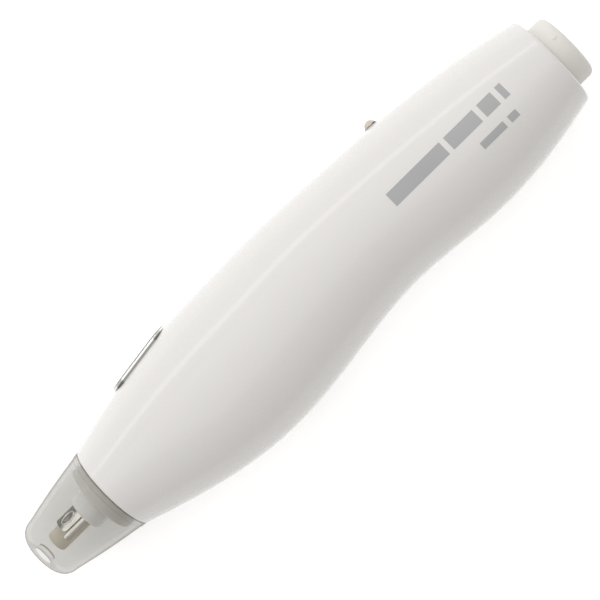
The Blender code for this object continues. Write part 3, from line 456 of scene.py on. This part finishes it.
def make_finishes():
    """All finishes, made once and looked up by name."""
    tints = bpy.context.scene.eraser_colours
    outward = BUTTON_SEAT.col[2].xyz
    return {
        "body_white": plastic("body_white", tints.body, 0.26, 2600.0, 0.00001, 0.52, 0.006),
        "plug_ivory": plastic("plug_ivory", tints.plug, 0.55, 1500.0, 0.00001, 0.0, 0.03, 0.1),
        "button_grey": plastic("button_grey", (0.66, 0.66, 0.65), 0.35, 1800.0, 0.000006, 0.2),
        "eraser": plastic("eraser", tints.eraser, 0.8, 2200.0, 0.00003, 0.0, 0.06, 0.1),
        "spindle_white": plastic("spindle_white", (0.92, 0.93, 0.91), 0.22, 1500.0, 0.000004, 0.5),
        "print_silver": plastic("print_silver", tints.silver, 0.42, 3200.0, 0.000003, 0.3, 0.04),
        "chrome": metal("chrome", (0.82, 0.82, 0.80), 0.10),
        "steel": metal("steel", (0.50, 0.50, 0.49), 0.34),
        "bronze": metal("bronze", (0.48, 0.31, 0.15), 0.45),
        "copper": metal("copper", (0.68, 0.32, 0.16), 0.38),
        "magnet": plastic("magnet", (0.06, 0.06, 0.06), 0.7),
        "black_plastic": plastic("black_plastic", (0.03, 0.03, 0.032), 0.45),
        "board": plastic("board", (0.03, 0.17, 0.07), 0.35, 700.0),
        "cell_sleeve": plastic("cell_sleeve", (0.06, 0.10, 0.25), 0.3, 900.0, 0.000003, 0.4),
        "seal_rubber": plastic("seal_rubber", (0.03, 0.03, 0.03), 0.75),
        "cap_clear": clear_plastic("cap_clear", tints.cap, tints.cap_edge, 0.29, 0.85, 0.12),
        "cap_core": clear_plastic("cap_core", tints.cap, tints.cap, 0.03, 0.05, 0.1),
        # Painted shade lines on the cap, in the edge colour.
        "cap_painted_shade": clear_plastic("cap_painted_shade", tints.cap_edge, tints.cap_edge, 0.55, 0.75, 0.1),
        # The bezel's and the chuck's metal carry painted reflections: light and dark bands fixed along one
        # direction.
        "bezel_chrome_painted_reflections": banded_metal("bezel_chrome_painted_reflections", BUTTON_SEAT.translation, outward, BEZEL_PAINTED_REFLECTIONS),
        "jaw_metal_painted_reflections": banded_metal("jaw_metal_painted_reflections", (0, AXIS_Y, 0), (0, 1, 0), JAW_PAINTED_REFLECTIONS),
        "lamp_clear": clear_plastic("lamp_clear", (0.62, 0.52, 0.38), (0.22, 0.17, 0.12), 0.55, 0.9),
        "lamp_base": plastic("lamp_base", (0.55, 0.55, 0.54), 0.3),
    }


FINISHES = {}


def finish(name):
    if not FINISHES:
        FINISHES.update(make_finishes())
    return FINISHES[name]


# Body

SPIGOT_RADIUS = 0.00805
NOSE_BORE = 0.0063
NOSE_WALL = 0.0067
TAIL_BORE = 0.0069
TAIL_WALL = 0.0022
HALF_STEPS = 64
SKIN_STEPS = 200
HOLLOW_STEPS = 60
BUTTON_X = SHOULDER + 0.0226
BUTTON_RISE = outline([BUTTON_X - 0.001, BUTTON_X, BUTTON_X + 0.001])[:, 0]
BUTTON_TILT = math.atan((BUTTON_RISE[2] - BUTTON_RISE[0]) / 0.002)
BUTTON_SEAT = (
    Matrix.Translation((BUTTON_X, AXIS_Y + BUTTON_RISE[1], AXIS_Z))
    @ Matrix.Rotation(BUTTON_TILT, 4, "Z")
    @ Matrix.Rotation(-math.pi / 2, 4, "X")
)
BEZEL_HALF = 0.0085
BEZEL_RADIUS = 0.0043
BEZEL_BAND = 0.0013
FIT = 0.00005


def round_ring(x, radius, centre=AXIS_Y):
    return np.array([[x, centre, radius, radius]])


def body_rings(edge):
    """The skin from the spigot to the tail edge, a quarter round, then the hollow back to the nose."""
    turn = np.linspace(0, np.pi / 2, 7)[1:]
    rounding = [sections(TAIL - edge * (1 - math.sin(t)), edge * (1 - math.cos(t))) for t in turn]
    lip = np.linspace(0, np.pi / 2, 5)
    shoulder = [sections(SHOULDER + 0.0003 * (1 - math.cos(t)), 0.0003 * (1 - math.sin(t))) for t in lip]
    start = SHOULDER - 0.0037
    return np.concatenate([
        round_ring(start, NOSE_BORE),
        round_ring(start, SPIGOT_RADIUS - 0.0003),
        round_ring(start + 0.0003, SPIGOT_RADIUS),
        round_ring(SHOULDER, SPIGOT_RADIUS),
        *shoulder,
        sections(np.linspace(SHOULDER + 0.0006, TAIL - edge, SKIN_STEPS)),
        *rounding,
        round_ring(TAIL, TAIL_BORE, PLUG_Y),
        round_ring(TAIL - TAIL_WALL, TAIL_BORE, PLUG_Y),
        sections(np.linspace(TAIL - TAIL_WALL, start + NOSE_WALL, HOLLOW_STEPS), WALL),
        round_ring(start + NOSE_WALL, NOSE_BORE),
    ])


def half_body(name, rings, side, seam):
    """Sweeps rings round half the body: y follows the cosine and z the sine of an angle from 0 to half a
    turn, and the flat at the joint stands half the seam off the middle."""
    angle = np.linspace(0, np.pi, HALF_STEPS + 1)
    x = np.repeat(rings[:, 0:1], HALF_STEPS + 1, axis=1)
    y = rings[:, 1:2] + rings[:, 2:3] * np.cos(angle)
    z = seam / 2 + (rings[:, 3:4] - seam / 2) * np.sin(angle)
    points = np.stack([x, y, AXIS_Z + side * z], axis=2)
    columns = HALF_STEPS + 1
    faces = grid_faces(len(rings), columns, True, False)
    order = range(len(rings))
    caps = [[i * columns for i in order], [i * columns + HALF_STEPS for i in order]]
    return put_mesh(name, points, faces, finish("body_white"), 30.0, caps)


def solid_box(name, low, high):
    """A box as two level rings."""
    rings = [[(low[0], low[1], z), (high[0], low[1], z), (high[0], high[1], z), (low[0], high[1], z)]
             for z in (low[2], high[2])]
    return skinned(name, rings, finish("body_white"))


def openings():
    """Closed solids for the button's and the lamp's openings."""
    rings = [stadium(z, BEZEL_HALF + FIT, BEZEL_RADIUS + FIT) for z in (-0.004, 0.004)]
    lamp_x = (LAMP_LOW.x + LAMP_HIGH.x) / 2
    lamp_line = Matrix.Translation((lamp_x, 0, AXIS_Z)) @ Matrix.Rotation(math.pi / 2, 4, "Z")
    bore = [(LAMP_LOW.y - 0.001, 0), (LAMP_LOW.y - 0.001, 0.0016), (LAMP_HIGH.y + 0.001, 0.0016)]
    bore.append((LAMP_HIGH.y + 0.001, 0))
    return [
        skinned("button_opening", rings, finish("body_white"), BUTTON_SEAT),
        turned("lamp_opening", bore, lamp_line, finish("body_white"), 48),
    ]


def screw_lines():
    """The middle of each body screw, and a matrix that turns X into Z there."""
    lines = []
    for number in range(1, 6):
        low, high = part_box(f"body_screw_{number}")
        centre = (Vector(low) + Vector(high)) / 2
        place = Matrix.Translation((centre.x, centre.y, 0))
        lines.append((centre, low[2], place @ Matrix.Rotation(-math.pi / 2, 4, "Y")))
    return lines


SCREW_WELL = 0.0021


class ERASER_OT_body(bpy.types.Operator):
    """Build the two glossy body halves with their openings, and the battery door"""

    bl_idname = "eraser.body"
    bl_label = "Body"

    def execute(self, context):
        sizes = context.scene.eraser_sizes
        rings = body_rings(sizes.edge)
        upper = half_body("body_upper", rings, 1, sizes.seam)
        lower = half_body("body_lower", rings, -1, sizes.seam)
        cut(upper, openings())
        wells = []
        for number, (_, head_low, line) in enumerate(screw_lines()):
            profile = [(-0.01, 0), (-0.01, SCREW_WELL), (head_low, SCREW_WELL), (head_low, 0)]
            wells.append(turned(f"well_{number}", profile, line, finish("body_white"), 48))
        margin = 0.0001
        low, high = DOOR_LOW - Vector((margin,) * 3), DOOR_HIGH + Vector((margin,) * 3)
        wells.append(solid_box("door_space", (low.x, low.y, -0.01), (high.x, high.y, AXIS_Z - 0.004)))
        cut(lower, [*openings(), *wells])
        finish_piece(upper, "casing", "body_white", "upper_shell")
        finish_piece(lower, "casing", "body_white", "lower_shell")
        self.door(sizes)
        self.wells()
        return {"FINISHED"}

    def door(self, sizes):
        """The skin over the door's stretch, trimmed square, with grip ribs at its front end."""
        x = np.linspace(DOOR_LOW.x - 0.002, DOOR_HIGH.x + 0.002, 90)
        rings = np.concatenate([sections(x), sections(x[::-1], WALL)])
        door = half_body("door_panel", rings, -1, sizes.seam)
        low = (DOOR_LOW.x, DOOR_LOW.y, -0.01)
        block = solid_box("door_trim", low, (DOOR_HIGH.x, DOOR_HIGH.y, AXIS_Z - 0.004))
        cut(door, [block], "INTERSECT")
        finish_piece(door, "door_body", "body_white", "battery_door")
        ribs = []
        for number in range(5):
            x = DOOR_LOW.x + 0.004 + 0.0014 * number
            ribs.append(strip(x, x + 0.0006, PLUG_Y - 0.0045, PLUG_Y + 0.0055, 0.00025, -1))
        rib_piece = joined("door_grip", ribs)
        finish_piece(rib_piece, "door_body", "body_white")

    def wells(self):
        """A tube round each sunk screw head, from the skin's inside to the head."""
        tubes = []
        for number, (centre, head_low, line) in enumerate(screw_lines()):
            ring = sections([centre.x])[0]
            reach = (abs(centre.y - ring[1]) + SCREW_WELL + 0.0008) / ring[2]
            mouth = AXIS_Z - ring[3] * math.sqrt(max(0.0, 1 - reach**2)) + 0.0005
            foot = head_low + 0.0016
            profile = [(foot, SCREW_WELL), (mouth, SCREW_WELL), (mouth, SCREW_WELL + 0.0008)]
            profile.append((foot, SCREW_WELL + 0.0008))
            tubes.append(turned(f"tube_{number}", profile, line, finish("body_white"), 40))
        finish_piece(joined("screw_wells", tubes), "casing", "body_white")


def strip(x_low, x_high, y_low, y_high, lift, side=1, material="body_white"):
    """A thin patch that follows the skin: a ring of points above and below it at each x."""
    x = np.linspace(x_low, x_high, 2 + int((x_high - x_low) / 0.0008))
    y = np.linspace(y_low, y_high, 14)
    across, along = np.meshgrid(y, x)
    top = skin_point(along, across, lift, side)
    under = skin_point(along, across, -0.0001, side)[:, ::-1]
    return skinned("strip", np.concatenate([top, under], axis=1), finish(material))


def joined(name, objects):
    """One object made of several closed ones."""
    build = bmesh.new()
    for obj in objects:
        build.from_mesh(obj.data)
    mesh = bpy.data.meshes.new(name)
    build.to_mesh(mesh)
    build.free()
    mesh.materials.append(objects[0].data.materials[0])
    for obj in objects:
        bpy.data.objects.remove(obj, do_unlink=True)
    piece = bpy.data.objects.new(name, mesh)
    bpy.context.scene.collection.objects.link(piece)
    mesh.shade_smooth()
    mesh.set_sharp_from_angle(angle=math.radians(35))
    return piece


class ERASER_OT_print(bpy.types.Operator):
    """Build the plain silver bars printed on the rear of the body"""

    bl_idname = "eraser.print"
    bl_label = "Print"

    def execute(self, context):
        lift = context.scene.eraser_sizes.print_lift
        start = TAIL - 0.0425
        upper = [(0.0, 0.0145), (0.0157, 0.0078), (0.0247, 0.0037), (0.0296, 0.0014)]
        lower = [(0.0200, 0.0062), (0.0274, 0.0022)]
        bars = []
        for row, y_low, y_high in ((upper, 0.0, 0.0032), (lower, -0.0042, -0.0026)):
            for ahead, length in row:
                x = start + ahead
                bar = strip(x, x + length, AXIS_Y + y_low, AXIS_Y + y_high, lift, 1, "print_silver")
                bars.append(bar)
        finish_piece(joined("print_stripes", bars), "casing", "steel")
        return {"FINISHED"}


# Cap, eraser, chuck and spindle

class ERASER_OT_cap(bpy.types.Operator):
    """Build the smoky clear cap: a tapering turned wall, open at the mouth and vented at the end"""

    bl_idname = "eraser.cap"
    bl_label = "Cap"

    def execute(self, context):
        wall = context.scene.eraser_sizes.cap_wall
        end_radius = 0.0070
        fillet = 0.0035
        mouth = CAP_HIGH.x + 0.0002
        mouth_radius = NOSE_RADIUS - 0.0001
        lip = 0.0012
        vent = 0.0021
        end_wall = 0.0015
        seat_length = 0.0036
        start = TIP + fillet
        x = np.linspace(start, mouth - lip, 24)
        share = (x - start) / (mouth - start)
        swell = 0.0002 * np.sin(np.pi * share)
        skin = end_radius + (mouth_radius - end_radius) * share + swell
        outer = [(TIP + 0.0003, vent), (TIP, vent + 0.0003)]
        outer += arc(start, end_radius - fillet, fillet, 180, 90, 14)
        outer += np.stack([x, skin], axis=1)[1:].tolist()
        bead = skin[-1] + 0.00012
        outer += [(x[-1] + 0.0001, bead), (mouth - 0.0001, bead + 0.0001), (mouth, bead)]
        bore = SPIGOT_RADIUS + 0.00025
        seat = mouth - seat_length
        inner_x = np.linspace(seat - 0.0003, TIP + 0.0045, 20)
        inner_share = (inner_x - start) / (mouth - start)
        inner_skin = end_radius + (mouth_radius - end_radius) * inner_share - wall
        inner = [(mouth, bore + 0.0002), (mouth - 0.0002, bore), (seat, bore)]
        inner += np.stack([inner_x, np.minimum(inner_skin, bore)], axis=1).tolist()
        inner_fillet = fillet - wall
        inner_end = TIP + end_wall
        inner += arc(inner_end + inner_fillet, end_radius - wall - inner_fillet, inner_fillet, 90, 180, 10)
        inner += [(inner_end, vent), (TIP + 0.0011, vent)]
        cap = turned("clear_cap", outer + inner, AXIS_LINE, finish("cap_clear"), 128, 40.0)
        slope = (mouth_radius - end_radius) / (mouth - start)

        def skin_at(x):
            """Outer radius: the fillet's arc near the end, and the taper after it."""
            rounded = end_radius - fillet + np.sqrt(np.clip(fillet**2 - (start - x) ** 2, 0, None))
            return np.where(x < start, rounded, end_radius + slope * (x - start))

        def inside(x, r, z):
            return (r < skin_at(x) - wall / 2) & (x > TIP + 0.0006)

        def mouth_shade_lines(x, r, z):
            """Painted shade lines at the mouth's edge and at the step where the bead starts."""
            return (x > mouth - 0.00015) | (np.abs(x - mouth + 0.00115) < 0.00008)

        def vent_shade_crescent(x, r, z):
            """Painted shade on the lower side of the opening's inner end."""
            return (r < vent + 0.0001) & (x > TIP + 0.0012) & (z < -0.0002)

        paint(cap, finish("cap_core"), inside)
        # Dark lines at the mouth and the bead's step, and a crescent on the vent's lower side, are painted
        # shade.
        paint(cap, finish("cap_painted_shade"), mouth_shade_lines)
        paint(cap, finish("cap_painted_shade"), vent_shade_crescent)
        finish_piece(cap, "cap_body", "cap_clear", "cap")
        return {"FINISHED"}


JAW_INNER = 0.00245
JAW_OUTER = 0.0031
DIMPLE_BEHIND = 0.0026
DIMPLE_TURN = -38


def jaw(name, start_angle, end_angle, x_low, x_high, dimple=None):
    """A curved sheet-metal finger: a grid over x and the angle, with the corners at the free end rounded.
    The dimple sinks it by a bell curve and lifts a rim round that."""
    u = np.linspace(0, 1, 28)
    v = np.linspace(-1, 1, 28)
    uu, vv = np.meshgrid(u, v, indexing="ij")
    corner = 0.16
    pull = np.clip((np.abs(vv) - (1 - corner * 2)) / (corner * 2), 0, 1)
    x = x_low + (x_high - x_low) * uu + (1 - uu) ** 4 * (1 - np.sqrt(1 - pull**2 * 0.98)) * 0.0009
    angle = math.radians(start_angle + end_angle) / 2 + vv * math.radians(end_angle - start_angle) / 2
    sink = np.zeros_like(x)
    if dimple:
        middle, turn = dimple
        away = np.hypot((x - middle) / 0.0014, (angle - math.radians(turn)) * 0.0029 / 0.0008)
        sink = -0.00055 * np.exp(-(away**2) * 1.3) + 0.00022 * np.exp(-((away - 1.35) ** 2) * 7)
    rings = []
    for radius in (JAW_OUTER + sink, JAW_INNER + sink * 0.8):
        y = AXIS_Y - radius * np.sin(angle)
        rings.append(np.stack([x, y, AXIS_Z + radius * np.cos(angle)], axis=2))
    sheet = np.concatenate([rings[0], rings[1][:, ::-1]], axis=1)
    return skinned(name, sheet, finish("jaw_metal_painted_reflections"), None, False, 50.0)


def oval_rim(name, middle, turn):
    """A fine raised rim on the chuck's face: an ellipse over x and the angle, swept by a small circle."""
    half_length = 0.0017
    half_width = 0.00085
    around = np.linspace(0, 2 * np.pi, 48, endpoint=False)[:, None]
    section = np.linspace(0, 2 * np.pi, 12, endpoint=False)[None, :]
    wire = 0.0002
    spread = wire * np.cos(section)
    radius = JAW_OUTER + wire * np.sin(section) + 0 * around
    x = middle + (half_length + spread) * np.cos(around)
    angle = math.radians(turn) + (half_width + spread) / JAW_OUTER * np.sin(around)
    rings = np.stack([x, AXIS_Y - radius * np.sin(angle), AXIS_Z + radius * np.cos(angle)], axis=2)
    return skinned(name, rings, finish("chrome"), None, True, 80.0)


class ERASER_OT_chuck(bpy.types.Operator):
    """Build the eraser refill, the split metal chuck that grips it, and the white spindle"""

    bl_idname = "eraser.chuck"
    bl_label = "Eraser and chuck"

    def execute(self, context):
        self.refill()
        root = SPINDLE_LOW.x
        front = CHUCK_LOW.x
        sleeve = [(root - 0.0002, JAW_INNER), (root - 0.0002, JAW_OUTER), (CHUCK_HIGH.x, JAW_OUTER)]
        sleeve.append((CHUCK_HIGH.x, JAW_INNER))
        dimple = front + DIMPLE_BEHIND
        # The sleeve and the jaws carry the painted reflection bands of their metal.
        parts = [
            turned("chuck_sleeve", sleeve, AXIS_LINE, finish("jaw_metal_painted_reflections"), 64),
            jaw("jaw_left", -104, -4, front, root, (dimple, DIMPLE_TURN)),
            jaw("jaw_narrow", 3, 30, front - 0.0007, root),
            jaw("jaw_right", 132, 172, front, root),
            jaw("jaw_under", 180, 248, front, root),
        ]
        chuck = joined("chuck_jaws", parts)
        finish_piece(chuck, "spindle_body", "chrome", "chuck")
        rim = oval_rim("chuck_dimple_rim", dimple, DIMPLE_TURN)
        finish_piece(rim, "spindle_body", "chrome")
        self.spindle()
        return {"FINISHED"}

    def refill(self):
        radius = (REFILL_HIGH.z - REFILL_LOW.z) / 2
        rub = 0.0007
        profile = [(REFILL_LOW.x, 0.0), (REFILL_LOW.x + 0.00005, radius * 0.4)]
        profile += arc(REFILL_LOW.x + rub, radius - rub, rub, 180, 90, 8)
        profile += [(REFILL_HIGH.x, radius), (REFILL_HIGH.x, 0.0)]
        refill = turned("refill_stick", profile, AXIS_LINE, finish("eraser"), 64)
        finish_piece(refill, "refill_body", "eraser", "eraser_refill")

    def spindle(self):
        """A tube with a thrust flange, the chuck's bore in front, and the motor shaft's bore behind."""
        low = SPINDLE_LOW.x
        high = SPINDLE_HIGH.x
        skin = 0.0041
        flange = 0.0056
        chuck_bore = 0.0033
        refill_bore = 0.0024
        shaft_bore = 0.0012
        chuck_end = low + 0.0063
        shaft_end = high - 0.0041
        profile = [
            (low, chuck_bore), (low, 0.0037), (low + 0.0003, 0.0040), (low + 0.0045, skin),
            (low + 0.0121, skin), (low + 0.0123, flange), (low + 0.0138, flange),
            (low + 0.0139, skin), (high - 0.0003, skin), (high, 0.0038), (high, shaft_bore),
            (shaft_end, shaft_bore), (shaft_end, refill_bore), (chuck_end, refill_bore),
            (chuck_end, chuck_bore),
        ]
        spindle = turned("spindle_tube", profile, AXIS_LINE, finish("spindle_white"), 72)
        finish_piece(spindle, "spindle_body", "body_white", "spindle")


# Button, bezel and lamp

class ERASER_OT_button(bpy.types.Operator):
    """Build the chromed bezel ring and the crowned push button inside it"""

    bl_idname = "eraser.button"
    bl_label = "Button"

    def execute(self, context):
        top = 0.00035
        roundness = 0.0005
        foot = -0.0018
        turn = np.linspace(0, np.pi, 13)
        inset = BEZEL_BAND / 2 * (1 - np.cos(turn))
        rise = top - roundness + roundness * np.sin(turn)
        rings = [stadium(foot, BEZEL_HALF, BEZEL_RADIUS)]
        rings += [stadium(z, BEZEL_HALF - i, BEZEL_RADIUS - i) for z, i in zip(rise, inset)]
        rings.append(stadium(foot, BEZEL_HALF - BEZEL_BAND, BEZEL_RADIUS - BEZEL_BAND))
        # The bezel's metal carries painted reflection bands.
        bezel = skinned("bezel_ring", rings, finish("bezel_chrome_painted_reflections"), BUTTON_SEAT, True)
        finish_piece(bezel, "casing", "chrome", "button_bezel")
        room = 0.00012
        flange = 0.001
        edge = -0.0004
        half = BEZEL_HALF - BEZEL_BAND - room
        radius = BEZEL_RADIUS - BEZEL_BAND - room
        rings = [
            stadium(-0.0027, half + flange, radius + flange),
            stadium(-0.0021, half + flange, radius + flange),
            stadium(-0.0021, half, radius),
            stadium(edge, half, radius),
        ]
        share = np.linspace(0, 0.96, 14)[1:]
        crown = edge + 0.0007 * np.sqrt(1 - (1 - share) ** 4)
        rings += [stadium(z, half - radius * s, radius * (1 - s)) for z, s in zip(crown, share)]
        button = skinned("button_key", rings, finish("button_grey"), BUTTON_SEAT)
        finish_piece(button, "button_body", "button_grey", "button")
        return {"FINISHED"}


class ERASER_OT_lamp(bpy.types.Operator):
    """Build the small domed lamp and the pale ring round its foot"""

    bl_idname = "eraser.lamp"
    bl_label = "Lamp"

    def execute(self, context):
        centre = (LAMP_LOW.x + LAMP_HIGH.x) / 2
        reach = float(outline(centre)[0, 0])
        ends = outline([centre - 0.001, centre + 0.001])[:, 0]
        slope = math.atan((ends[1] - ends[0]) / 0.002)
        tilt = Matrix.Rotation(math.pi / 2 + slope, 4, "Z")
        line = Matrix.Translation((centre, AXIS_Y + reach, AXIS_Z)) @ tilt
        top = LAMP_HIGH.y - AXIS_Y - reach
        radius = 0.0014
        foot = LAMP_LOW.y - AXIS_Y - reach
        dome = arc(top - radius, 0.0, radius, 0, 90, 16)
        dome[0] = (top, 0.0)
        dome += [(0.0002, radius), (0.0001, 0.0015), (foot + 0.0009, 0.0015), (foot + 0.0009, 0.0018)]
        dome += [(foot + 0.0001, 0.0018), (foot, 0.0)]
        lamp = turned("lamp_dome", dome, line, finish("lamp_clear"), 64)
        paint(lamp, finish("black_plastic"), lambda x, r, z: r < reach + 0.0003)
        finish_piece(lamp, "casing", "lamp_clear", "lamp")
        collar = [(-0.0009, 0.00152), (-0.0009, 0.00158), (-0.0003, 0.0018), (0.0, 0.0018)]
        collar += [(0.00008, 0.00172), (0.00008, 0.0016), (0.0, 0.00152)]
        ring = turned("lamp_ring", collar, line, finish("lamp_base"), 64)
        finish_piece(ring, "casing", "lamp_clear")
        return {"FINISHED"}


# Tail plug

class ERASER_OT_plug(bpy.types.Operator):
    """Build the matte tail plug with its rounded end and small index bump"""

    bl_idname = "eraser.plug"
    bl_label = "Tail plug"

    def execute(self, context):
        rounding = context.scene.eraser_sizes.plug_round
        end = PLUG_HIGH.x
        head = TAIL + 0.0001
        radius = (PLUG_HIGH.y - PLUG_LOW.y) / 2
        shank = 0.0066
        inside = 0.0054
        shank_length = 0.0072
        groove = 0.0005
        seal = TAIL + 0.0003 - 0.6 * shank_length
        profile = [(end - 0.0002, 0.0), (end, radius * 0.5)]
        profile += arc(end - rounding, radius - rounding, rounding, 0, 90, 10)
        profile += [
            (head + 0.0002, radius), (head, radius - 0.0002), (head, shank), (seal + groove, shank),
            (seal + groove, shank - 0.0007), (seal - groove, shank - 0.0007), (seal - groove, shank),
            (PLUG_LOW.x + 0.0003, shank), (PLUG_LOW.x, shank - 0.0003), (PLUG_LOW.x, inside),
            (end - 0.0024, inside), (end - 0.0024, 0.0),
        ]
        plug = turned("plug_knob", profile, PLUG_LINE, finish("plug_ivory"), 96)
        finish_piece(plug, "plug_body", "plug_ivory", "tail_plug")
        turn = math.radians(68)
        place = Matrix.Translation((0, PLUG_Y, AXIS_Z)) @ Matrix.Rotation(turn, 4, "X")
        place = place @ Matrix.Translation((end - 0.0019, radius - 0.0001, 0))
        place = place @ Matrix.Rotation(math.pi / 2, 4, "Z")
        bump = [(0.0003, 0.0)]
        bump += arc(0.0, 0.0001, 0.0003, 0, 90, 6)[1:]
        bump += [(-0.0004, 0.0004), (-0.0004, 0.0)]
        dot = turned("plug_index", [(x, r * 1.4) for x, r in bump], place, finish("plug_ivory"), 32)
        finish_piece(dot, "plug_body", "plug_ivory")
        return {"FINISHED"}


# Carried-over inner parts

INNER_FINISHES = {
    "steel": (
        "motor_can", "motor_shaft", "thrust_washer", "contact_spring", "spring_plate", "contact_jumper",
        "body_screw",
    ),
    "bronze": ("nose_bushing", "motor_tag"),
    "copper": ("armature", "commutator"),
    "magnet": ("magnet",),
    "black_plastic": ("motor_end_cap", "battery_tray", "switch_body", "switch_plunger"),
    "board": ("switch_board",),
    "cell_sleeve": ("cell_",),
    "seal_rubber": ("plug_seal",),
    "eraser": ("spare_refill",),
    "body_white": ("magazine",),
}


class ERASER_OT_inner(bpy.types.Operator):
    """Give every carried-over inner part its finish"""

    bl_idname = "eraser.inner"
    bl_label = "Inner parts"

    def execute(self, context):
        for name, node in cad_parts.items():
            for slot, starts in INNER_FINISHES.items():
                if name.startswith(starts):
                    node.data.materials.clear()
                    node.data.materials.append(finish(slot))
        return {"FINISHED"}


# Stage

CAMERA_DISTANCE = 0.39
CAMERA_AHEAD = 0.029
CAMERA_LENS = 115.4
ROLL = math.radians(44.7)


def area_light(name, place, target, size, size_y, power, spin=0.0):
    light = bpy.data.lights.new(name, "AREA")
    light.shape = "RECTANGLE"
    light.size = size
    light.size_y = size_y
    light.energy = power
    obj = bpy.data.objects.new(name, light)
    bpy.context.scene.collection.objects.link(obj)
    obj.location = place
    aim = (Vector(target) - Vector(place)).to_track_quat("-Z", "Y").to_matrix().to_4x4()
    obj.rotation_euler = (aim @ Matrix.Rotation(spin, 4, "Z")).to_euler()


class ERASER_OT_stage(bpy.types.Operator):
    """Set the pale floor, the soft studio lights and the camera that looks down on the eraser"""

    bl_idname = "eraser.stage"
    bl_label = "Stage"

    def execute(self, context):
        made, tree, shader = principled("floor_pale")
        slow = noise(tree, 3.0, 2.0)
        tones = ramp(tree, slow, (0.93, 0.93, 0.93), (0.95, 0.95, 0.95))
        tree.links.new(tones, shader.inputs["Base Color"])
        shader.inputs["Roughness"].default_value = 0.9
        shader.inputs["Emission Color"].default_value = (1.0, 1.0, 1.0, 1.0)
        shader.inputs["Emission Strength"].default_value = 0.36
        half = 1.5
        base = -0.00015
        corners = [(-half, -half, base), (half, -half, base), (half, half, base), (-half, half, base)]
        mesh = bpy.data.meshes.new("floor")
        mesh.from_pydata(corners, [], [(0, 1, 2, 3)])
        mesh.materials.append(made)
        floor = bpy.data.objects.new("floor", mesh)
        context.scene.collection.objects.link(floor)
        world = bpy.data.worlds.new("studio")
        world.use_nodes = True
        tree = world.node_tree
        place = tree.nodes.new("ShaderNodeTexCoord")
        parts = tree.nodes.new("ShaderNodeSeparateXYZ")
        tree.links.new(place.outputs["Generated"], parts.inputs["Vector"])
        side = tree.nodes.new("ShaderNodeMapRange")
        side.inputs["From Min"].default_value = -0.9
        side.inputs["From Max"].default_value = 0.5
        tree.links.new(parts.outputs["Y"], side.inputs["Value"])
        glow = ramp(tree, side.outputs["Result"], (0.50, 0.485, 0.47), (1.0, 0.995, 0.985), 0.0, 1.0)
        tree.links.new(glow, tree.nodes["Background"].inputs["Color"])
        tree.nodes["Background"].inputs["Strength"].default_value = 0.72
        context.scene.world = world
        context.scene.view_settings.view_transform = "Standard"
        middle = (0, 0, AXIS_Z)
        area_light("overhead", (-0.05, 0.12, 0.9), middle, 1.0, 1.0, 2.6)
        area_light("strip", (0.02, 0.46, 0.36), middle, 0.9, 0.075, 0.75)
        self.camera(context)
        return {"FINISHED"}

    def camera(self, context):
        """The length runs up to the right, at the roll angle, and the eye stands a little to the tail."""
        target = Vector((0.0003, 0.0006, AXIS_Z))
        eye = Vector((CAMERA_AHEAD, 0.0006, AXIS_Z + CAMERA_DISTANCE))
        back = (eye - target).normalized()
        up = Vector((math.sin(ROLL), math.cos(ROLL), 0))
        right = up.cross(back).normalized()
        up = back.cross(right)
        camera = bpy.data.cameras.new("camera")
        camera.lens = CAMERA_LENS
        obj = bpy.data.objects.new("camera", camera)
        turn = Matrix((right, up, back)).transposed().to_4x4()
        obj.matrix_world = Matrix.Translation(eye) @ turn
        context.scene.collection.objects.link(obj)
        context.scene.camera = obj


OPERATORS = (
    ERASER_OT_stage,
    ERASER_OT_body,
    ERASER_OT_print,
    ERASER_OT_cap,
    ERASER_OT_chuck,
    ERASER_OT_button,
    ERASER_OT_lamp,
    ERASER_OT_plug,
    ERASER_OT_inner,
)


class ERASER_PT_panel(bpy.types.Panel):
    """Lists the eraser's sizes, colours and building steps"""

    bl_idname = "ERASER_PT_panel"
    bl_label = "Electric eraser"
    bl_space_type = "VIEW_3D"
    bl_region_type = "UI"
    bl_category = "Eraser"

    def draw(self, context):
        column = self.layout.column()
        for group in (context.scene.eraser_sizes, context.scene.eraser_colours):
            for name in group.bl_rna.properties.keys():
                if name not in ("rna_type", "name"):
                    column.prop(group, name)
        for operator in OPERATORS:
            column.operator(operator.bl_idname)


CLASSES = (EraserSizes, EraserColours, *OPERATORS, ERASER_PT_panel)


def register():
    for cls in CLASSES:
        bpy.utils.register_class(cls)
    bpy.types.Scene.eraser_sizes = bpy.props.PointerProperty(type=EraserSizes)
    bpy.types.Scene.eraser_colours = bpy.props.PointerProperty(type=EraserColours)


def unregister():
    del bpy.types.Scene.eraser_sizes
    del bpy.types.Scene.eraser_colours
    for cls in reversed(CLASSES):
        bpy.utils.unregister_class(cls)


def main():
    register()
    bpy.ops.eraser.stage()
    bpy.ops.eraser.body()
    bpy.ops.eraser.print()
    bpy.ops.eraser.cap()
    bpy.ops.eraser.chuck()
    bpy.ops.eraser.button()
    bpy.ops.eraser.lamp()
    bpy.ops.eraser.plug()
    bpy.ops.eraser.inner()


if __name__ == "__main__":
    main()
